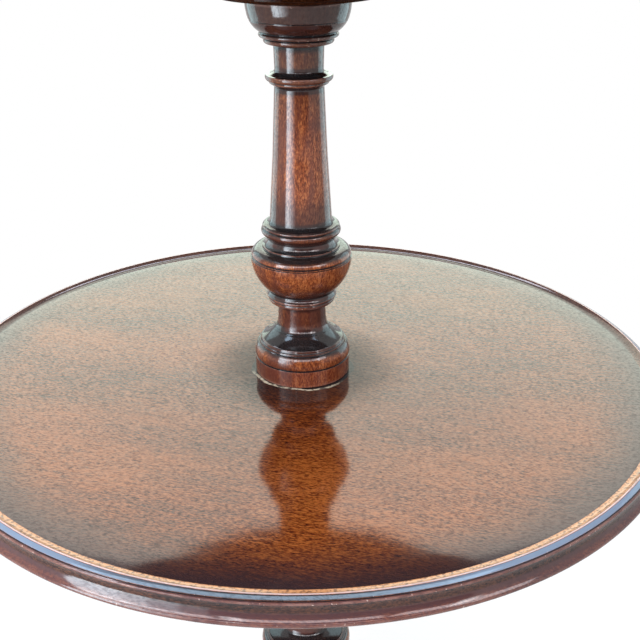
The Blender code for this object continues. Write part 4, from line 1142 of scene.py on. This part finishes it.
def leg(name, degrees):
    sections = [leg_section(BLOCK_RADIUS * START_SHARE, 0)]
    for station in range(STATIONS + 1):
        share = station / STATIONS
        sections.append(leg_section(BLOCK_RADIUS + share * LEG_RUN, share))
    sections.append(leg_section(TOE_END, 1))
    mesh = bmesh.new()
    loft(mesh, sections)
    finish = mahogany(name + "_mahogany", (0, 0, math.radians(-degrees)), (degrees / 100, 0.07, 0.3),
                      LEG_TINT, wear=0.3, grain=BOARD_FLECKS)
    made = from_bmesh(name + "_sawn", mesh, finish)
    cope = bmesh.new()
    prism(cope, circle(BLOCK_RADIUS + SEAT_GAP, 96), BLOCK_BOTTOM - 4 * MM, ROOT_TOP + 4 * MM)
    carve(made, from_bmesh("cope", cope))
    key = bmesh.new()
    prism(key, key_plan(0, KEY_REACH), BLOCK_BOTTOM + SEAT_GAP, KEY_TOP)
    carve(made, from_bmesh("key", key), "UNION")
    made.data.transform(spun(degrees))
    settle(made, "stand", "mahogany", name)
    print(name, triangles(made), "triangles")


for name, degrees in LEG_ANGLES.items():
    leg("leg_" + name, degrees)

# %% [markdown]
# ## The iron plate
# Under the block, a flat plate with three arms ties the legs to the stem. It was cut from bar and
# its edges were eased with a file, so a small Bevel modifier on its sharp edges is all it needs.
# The screws fill its holes.

# %% Cut the plate and ease its edges
ARM_HALF_WIDTH, ARM_END, HUB = 10 * MM, 75 * MM, 42.7 * MM
ARM_CUTS, HUB_CUTS = 16, 12
HEAD_HOLE_RADIUS, SHANK_HOLE_RADIUS = 4.3 * MM, 2.3 * MM


def plate_plan():
    """Three round-ended arms, joined by arcs of the hub's circle."""
    lean = math.asin(ARM_HALF_WIDTH / HUB)
    gap = math.radians(120) - 2 * lean
    reach = ARM_END - ARM_HALF_WIDTH
    root = HUB * math.cos(lean)
    bend = [math.pi * (step / ARM_CUTS - 1 / 2) for step in range(ARM_CUTS + 1)]
    hub = [lean + gap * step / HUB_CUTS for step in range(1, HUB_CUTS)]
    arm = [(reach + ARM_HALF_WIDTH * math.cos(a), ARM_HALF_WIDTH * math.sin(a)) for a in bend]
    arm = [(root, -ARM_HALF_WIDTH), *arm, (root, ARM_HALF_WIDTH)]
    arm += [(HUB * math.cos(a), HUB * math.sin(a)) for a in hub]
    return [(spun(degrees) @ Vector((*point, 0)))[:2]
            for degrees in sorted(LEG_ANGLES.values()) for point in arm]


def eased_edges(thing, width, segments=2):
    modifier = thing.modifiers.new("eased", "BEVEL")
    modifier.width, modifier.segments = width, segments
    modifier.limit_method, modifier.angle_limit = "ANGLE", math.radians(35)
    modifier.use_clamp_overlap = True
    return made_plain(thing)


plate_mesh = bmesh.new()
prism(plate_mesh, plate_plan(), PLATE_BOTTOM, PLATE_TOP)
plate = eased_edges(from_bmesh("leg_plate_forged", plate_mesh, IRON), 0.5 * MM)
hole_cutter = bmesh.new()
for spot in plate_spots:
    hole = Matrix.Translation((spot.x, spot.y, 0))
    prism(hole_cutter, circle(HEAD_HOLE_RADIUS), PLATE_BOTTOM - 1 * MM, PLATE_BOTTOM + 1.2 * MM, hole)
    prism(hole_cutter, circle(SHANK_HOLE_RADIUS), PLATE_BOTTOM + 1 * MM, PLATE_TOP + 1 * MM, hole)
carve(plate, from_bmesh("plate_holes", hole_cutter))
settle(plate, "stand", "iron", "leg_plate")
print("plate:", triangles(plate), "triangles")

# %% [markdown]
# ## The castors
# Each leg ends in a square brass cap with a castor under it: a pintle, a horn that swings round
# it, and a wheel on an axle. A maker's castor is the same three times over, so each piece is
# made once along +X, and its mesh is turned to the leg's direction. The cap is a box with a
# socket cut into it, the horn is a bent strap drawn from the side, and the wheel is a turning.

# %% Cast the caps
CAP_BOTTOM, CAP_KNOB_BOTTOM = 38.8 * MM, 34.8 * MM
CAP_HALF_LENGTH, CAP_HALF_WIDTH, CAP_WALL = 19 * MM, 12.8 * MM, 1.5 * MM
KNOB_RADIUS, KNOB_TOP = 8 * MM, CAP_BOTTOM + 0.7 * MM
PINTLE_BORE, PINTLE_BORE_TOP, CAP_SCREW_BORE = 3.3 * MM, 38.5 * MM, 1.9 * MM


def cap(name, place):
    box = bmesh.new()
    prism(box, rectangle(-CAP_HALF_LENGTH, CAP_HALF_LENGTH, CAP_HALF_WIDTH), CAP_BOTTOM, CAP_TOP)
    made = eased_edges(from_bmesh(name + "_cast", box, BRASS), 0.9 * MM, 3)
    rows = [(0, CAP_KNOB_BOTTOM, 0), (KNOB_RADIUS, CAP_KNOB_BOTTOM, 0), (KNOB_RADIUS, KNOB_TOP, 0),
            (0, KNOB_TOP, 0)]
    knob = turn("knob", eased(outline_of(rows), reach=0.6 * MM), BRASS, cuts=48)
    carve(made, knob, "UNION")
    cutter = bmesh.new()
    inside = rectangle(-CAP_HALF_LENGTH - OVERRUN, CAP_HALF_LENGTH - CAP_WALL, CAP_HALF_WIDTH - CAP_WALL)
    prism(cutter, inside, CAP_BOTTOM + CAP_WALL, CAP_TOP - CAP_WALL)
    prism(cutter, circle(PINTLE_BORE), CAP_KNOB_BOTTOM - OVERRUN, PINTLE_BORE_TOP)
    prism(cutter, circle(CAP_SCREW_BORE), CAP_TOP - CAP_WALL - 1 * MM, CAP_TOP + 1 * MM)
    carve(made, from_bmesh("socket", cutter))
    made.data.transform(place)
    settle(made, "stand", "brass", name)
    return made


# %% Bend the horns
WHEEL_RADIUS, TRAIL, EYE_RADIUS, EYE_CUTS = 14 * MM, 10 * MM, 5 * MM, 20
CROWN_RADIUS, CROWN_LOW, CROWN_HIGH = 8 * MM, 31.5 * MM, 34.5 * MM
CHEEK_IN, CHEEK_OUT, AXLE_BORE = 5 * MM, 7 * MM, 2.3 * MM


def side_prism(mesh, plan, low, high):
    """A prism over a side view of (x, z) points, between two distances across."""
    rings = [[mesh.verts.new((x, y, z)) for x, z in plan] for y in (low, high)]
    sides = [(rings[0][c], rings[0][c - 1], rings[1][c - 1], rings[1][c]) for c in range(len(plan))]
    for face in sides + [rings[0], list(reversed(rings[1]))]:
        mesh.faces.new(face)


def horn(name, body, place):
    turns = [math.pi * (1 + step / EYE_CUTS) for step in range(EYE_CUTS + 1)]
    eye = [(TRAIL + EYE_RADIUS * math.cos(a), WHEEL_RADIUS + EYE_RADIUS * math.sin(a)) for a in turns]
    crown = [(CROWN_RADIUS, CROWN_HIGH), (-CROWN_RADIUS, CROWN_HIGH), (-CROWN_RADIUS, CROWN_LOW)]
    strap = bmesh.new()
    side_prism(strap, crown + eye, -CHEEK_OUT, CHEEK_OUT)
    made = from_bmesh(name + "_bent", strap, BRASS)
    slot = bmesh.new()
    opening = rectangle(-CROWN_RADIUS - OVERRUN, TRAIL + EYE_RADIUS + OVERRUN, CHEEK_IN)
    prism(slot, opening, -OVERRUN, CROWN_LOW)
    carve(made, from_bmesh("slot", slot))
    eased_edges(made, 0.45 * MM)
    bores = bmesh.new()
    prism(bores, circle(PINTLE_BORE), CROWN_LOW - 1 * MM, CROWN_HIGH + 1 * MM)
    axle_bore = [(TRAIL + x, WHEEL_RADIUS + z) for x, z in circle(AXLE_BORE)]
    side_prism(bores, axle_bore, -CHEEK_OUT - OVERRUN, CHEEK_OUT + OVERRUN)
    carve(made, from_bmesh("bores", bores))
    made.data.transform(place)
    settle(made, body, "brass", name)
    return made


# %% [markdown]
# Wheel and axle are turnings laid on their sides, so they are turned upright on the lathe, and
# then laid over with their centre at the axle.

# %% Turn the wheels and axles
AXLE_PLACE = Matrix.Translation((TRAIL, 0, WHEEL_RADIUS)) @ Matrix.Rotation(math.radians(90), 4, "X")
HALF_HUB, HALF_TREAD, HUB_RADIUS = 4.5 * MM, 3.15 * MM, 6.3 * MM
WHEEL_SIDE = (
    (AXLE_BORE, HALF_HUB, 0), (HUB_RADIUS, HALF_HUB, 0), (HUB_RADIUS + 0.9 * MM, HALF_HUB - 0.9 * MM, 0),
    (11.2 * MM, HALF_TREAD + 0.4 * MM, 0), (13.0 * MM, HALF_TREAD + 0.5 * MM, 0),
    (WHEEL_RADIUS, HALF_TREAD - 0.6 * MM, -0.2),
)
AXLE_HEAD, AXLE_SHANK, AXLE_INNER, AXLE_OUTER = 3.2 * MM, 2 * MM, 7.3 * MM, 8.5 * MM


def wheel(name, body, place):
    rows = [(out, -up, 0) for out, up, _ in WHEEL_SIDE]
    rows += [(out, up, -bow) for out, up, bow in reversed(WHEEL_SIDE)]
    rows[len(WHEEL_SIDE)] = (*WHEEL_SIDE[-1][:2], 0)
    rows.append(rows[0])
    made = turn(name + "_turning", eased(outline_of(rows), reach=0.35 * MM), BRASS, cuts=64)
    made.data.transform(place @ AXLE_PLACE)
    settle(made, body, "brass", name)
    return made


def axle(name, body, place):
    """A rivet: a shank between two slightly domed heads."""
    rim = AXLE_INNER + 0.3 * MM
    rows = [(0, -AXLE_OUTER, 0), (AXLE_HEAD, -rim, 0.16), (AXLE_HEAD, -AXLE_INNER, 0),
            (AXLE_SHANK, -AXLE_INNER, 0), (AXLE_SHANK, AXLE_INNER, 0), (AXLE_HEAD, AXLE_INNER, 0),
            (AXLE_HEAD, rim, 0), (0, AXLE_OUTER, 0.16)]
    made = turn(name + "_rivet", eased(outline_of(rows), reach=0.12 * MM), IRON, cuts=40)
    made.data.transform(place @ AXLE_PLACE)
    settle(made, body, "iron", name)
    return made


for name, degrees in LEG_ANGLES.items():
    place = spun(degrees) @ Matrix.Translation((CASTOR_CIRCLE, 0, 0))
    pieces = [cap("castor_cap_" + name, place), horn("castor_fork_" + name, "castor_horn_" + name, place)]
    pieces.append(wheel("castor_wheel_" + name, "castor_roller_" + name, place))
    pieces.append(axle("castor_axle_" + name, "castor_horn_" + name, place))
    print("castor", name + ":", sum(triangles(piece) for piece in pieces), "triangles")

# %% [markdown]
# ## Pieces that keep their plain shape
# The spindles, bushes, washers, pintles and the nut are plain rods and rings that hide inside the
# table. Their solids are right as they are, and only get their finish.

# %% Finish the hidden fittings
FITTINGS = {
    BRASS: ("lower_thrust_washer", "upper_thrust_washer", "nut_washer", "lower_tier_bush",
            "upper_tier_bush"),
    IRON: ("lower_spindle", "upper_spindle", "spindle_nut", "castor_pintle_back", "castor_pintle_right",
           "castor_pintle_left"),
}
for finish, names in FITTINGS.items():
    for name in names:
        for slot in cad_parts[name].material_slots:
            slot.material = finish
print("fittings:", sum(len(names) for names in FITTINGS.values()))

# %% [markdown]
# ## Floor, backdrop and light
# The studio is a wide pale floor that turns to pure white away from the table, so the camera sees
# no horizon. That white is for what looks at it, not for what it lights: the Light Path node tells
# camera, mirror and glass rays from the rest.

# %% Lay the floor
FLOOR_RADIUS, FLOOR_GREY = 14, 0.86
SHADOW_REACH, WHITE_REACH = 0.25, 1.1


def seen(tree):
    """1 for camera, mirror and glass rays, and 0 for the rays that carry light."""
    rays = node(tree, "ShaderNodeLightPath").outputs
    return maths(tree, "MAXIMUM", rays["Is Camera Ray"], rays["Is Glossy Ray"], rays["Is Transmission Ray"])


def studio_floor():
    mesh = bmesh.new()
    bmesh.ops.create_circle(mesh, cap_ends=True, segments=96, radius=FLOOR_RADIUS)
    material, tree, shader = new_material("pale_floor")
    shader.inputs["Base Color"].default_value = as_colour((FLOOR_GREY, FLOOR_GREY, FLOOR_GREY))
    shader.inputs["Roughness"].default_value = 0.9
    shader.inputs["Specular IOR Level"].default_value = 0.1
    white = node(tree, "ShaderNodeEmission", ("Color", (1, 1, 1, 1)), ("Strength", 1.0)).outputs[0]
    out = node(tree, "ShaderNodeVectorMath", (0, object_place(tree)), operation="LENGTH").outputs["Value"]
    share = maths(tree, "MULTIPLY", between(tree, out, SHADOW_REACH, WHITE_REACH, 0.80, 1.0), seen(tree))
    blend = node(tree, "ShaderNodeMixShader", (0, share), (1, shader.outputs[0]), (2, white))
    tree.links.new(blend.outputs[0], tree.nodes["Material Output"].inputs["Surface"])
    from_bmesh("floor", mesh, material)


studio_floor()


# %% Light the world
def studio_world(light):
    world = bpy.data.worlds.new("studio")
    world.use_nodes = True
    tree = world.node_tree
    back = tree.nodes["Background"]
    tree.links.new(between(tree, seen(tree), 0, 1, light, 1.0), back.inputs["Strength"])
    back.inputs["Color"].default_value = (1, 1, 1, 1)
    scene.world = world


studio_world(0.15)

# %% [markdown]
# Polish is a mirror, so what stands round the table matters as much as the lights. A white room
# all round would lay a pale haze over the red of the wood. So a dark curtain hangs behind the
# camera, as in a photographer's studio. The camera looks through it from any side.

# %% Hang the dark curtain
CURTAIN_SIDE = ((-1.95, 0.36), (-1.95, 1.3), (-1.85, 1.9), (-1.6, 2.4), (-1.15, 2.75))
CURTAIN_HALF_WIDTH, CURTAIN_STEPS = 1.7, 30
FOLD_DEPTH, FOLD_TURN = 0.03, 1.3
DARK_CLOTH, WORN_CLOTH = (0.030, 0.022, 0.020), (0.055, 0.040, 0.036)


def studio_curtain():
    mesh = bmesh.new()
    columns = []
    for step in range(2 * CURTAIN_STEPS + 1):
        across = (step / CURTAIN_STEPS - 1) * CURTAIN_HALF_WIDTH
        fold = FOLD_DEPTH * math.sin(step * FOLD_TURN)
        columns.append([mesh.verts.new((across, y + fold, z)) for y, z in CURTAIN_SIDE])
    for near, far in zip(columns, columns[1:]):
        for low in range(len(CURTAIN_SIDE) - 1):
            mesh.faces.new((near[low], near[low + 1], far[low + 1], far[low]))
    material, tree, shader = new_material("dark_cloth")
    weave = node(tree, "ShaderNodeTexNoise", ("Scale", 30), ("Detail", 4)).outputs["Fac"]
    tree.links.new(ramp(tree, weave, ((0.3, DARK_CLOTH), (0.7, WORN_CLOTH))), shader.inputs["Base Color"])
    shader.inputs["Roughness"].default_value = 1.0
    curtain = from_bmesh("studio_curtain", mesh, material)
    curtain.visible_camera = False


studio_curtain()

# %% [markdown]
# The lights are big and soft. Five upright panes stand side by side to the left of the camera, and
# the ones next to it are dim. So the stripe that they make down the stem is sharp on one side and
# soft on the other. Two more lights, at the left and right, pick out the stem's edges.

# %% Hang the soft lights
def soft_light(name, place, target, width, height, power, colour):
    data = bpy.data.lights.new(name, "AREA")
    data.shape, data.size, data.size_y = "RECTANGLE", width, height
    data.energy, data.color = power, colour
    lamp = bpy.data.objects.new(name, data)
    scene.collection.objects.link(lamp)
    away = (Vector(place) - Vector(target)).to_track_quat("Z", "Y")
    lamp.matrix_world = Matrix.Translation(place) @ away.to_matrix().to_4x4()
    lamp.visible_camera = False


BY_THE_PANES = Vector((0.765, -0.644, 0))
PANES_MIDDLE, PANE_WIDTH, PANE_HEIGHT = Vector((-0.90, -1.07, 0.70)), 0.18, 1.3
PANE_POWERS = (9, 10, 7, 4, 1.5)
WINDOW_BLUE, LEFT_BLUE, RIGHT_BLUE = (0.77, 0.90, 1.0), (0.58, 0.93, 1.0), (0.60, 0.92, 1.0)
for pane, power in enumerate(PANE_POWERS):
    place = PANES_MIDDLE + (pane - 2) * PANE_WIDTH * BY_THE_PANES
    facing = Vector((0, 0, PANES_MIDDLE.z)) + place - PANES_MIDDLE
    soft_light(f"window_pane_{pane}", place, facing, PANE_WIDTH, PANE_HEIGHT, power, WINDOW_BLUE)
soft_light("side_right", (1.27, 0.70, 0.75), (0, 0, 0.70), 1.00, 1.4, 8.5, RIGHT_BLUE)
soft_light("side_left", (-1.24, 0.82, 0.75), (0, 0, 0.70), 1.00, 1.4, 9, LEFT_BLUE)

# %% [markdown]
# Three wide strips over the camera make the bright lines on the rounded mouldings, and two narrow
# lamps in front of them give those a few small highlights. A bluish ceiling shines in the rim of
# the tier, and one more light high up behind the table shines in its far side.

# %% Hang the strips, the lamps and the lights from above
# how far each is swung round the axis, in degrees
STRIPS, LAMPS = {"left": -42, "middle": 0, "right": 42}, {"left": -18, "right": 40}
CEILING_BLUE, HIGH_BLUE = (0.54, 0.76, 1.0), (0.86, 0.86, 1.0)
STRIP_ROSE, LAMP_WHITE = (0.98, 0.92, 0.95), (0.95, 0.97, 1.0)


def swung(degrees, place):
    return Matrix.Rotation(math.radians(degrees), 3, "Z") @ Vector(place)


for side, degrees in STRIPS.items():
    place = swung(degrees, (0, -1.40, 1.36))
    soft_light("over_camera_" + side, place, (0, 0, 0.60), 0.98, 0.42, 8.5, STRIP_ROSE)
for side, degrees in LAMPS.items():
    place = swung(degrees, (0, -1.30, 1.18))
    soft_light("tall_lamp_" + side, place, (0, 0, 0.58), 0.12, 0.50, 1.6, LAMP_WHITE)
soft_light("ceiling", (-0.2, -0.45, 2.3), (-0.2, -0.45, 0), 2.8, 0.62, 50, CEILING_BLUE)
soft_light("behind_high", (-0.2, 1.15, 2.3), (-0.1, 0.3, 0.5), 1.6, 0.26, 19, HIGH_BLUE)

# %% [markdown]
# Behind the table stands a broad screen, which the polished field mirrors as its sheen. It is
# greenish at its foot and warmer towards its top, so it is lit in six rows. One area light can't
# change its colour from edge to edge.

# %% Stand the screen behind the table
SCREEN_ROWS, SCREEN_FOOT, SCREEN_HEIGHT, SCREEN_WIDTH = 6, 0.95, 2.15, 3.2
SCREEN_POWER = 9.8
LOW_GREEN, HIGH_WARM = Vector((0.77, 1.0, 0.83)), Vector((1.0, 0.91, 0.76))
for row in range(SCREEN_ROWS):
    middle = SCREEN_FOOT + SCREEN_HEIGHT * (row + 0.5) / SCREEN_ROWS
    colour = LOW_GREEN.lerp(HIGH_WARM, row / (SCREEN_ROWS - 1))
    soft_light(f"screen_row_{row}", (0, 2.6, middle), (0, 0, middle), SCREEN_WIDTH,
               SCREEN_HEIGHT / SCREEN_ROWS, SCREEN_POWER, colour)
scene.view_settings.view_transform = "Standard"
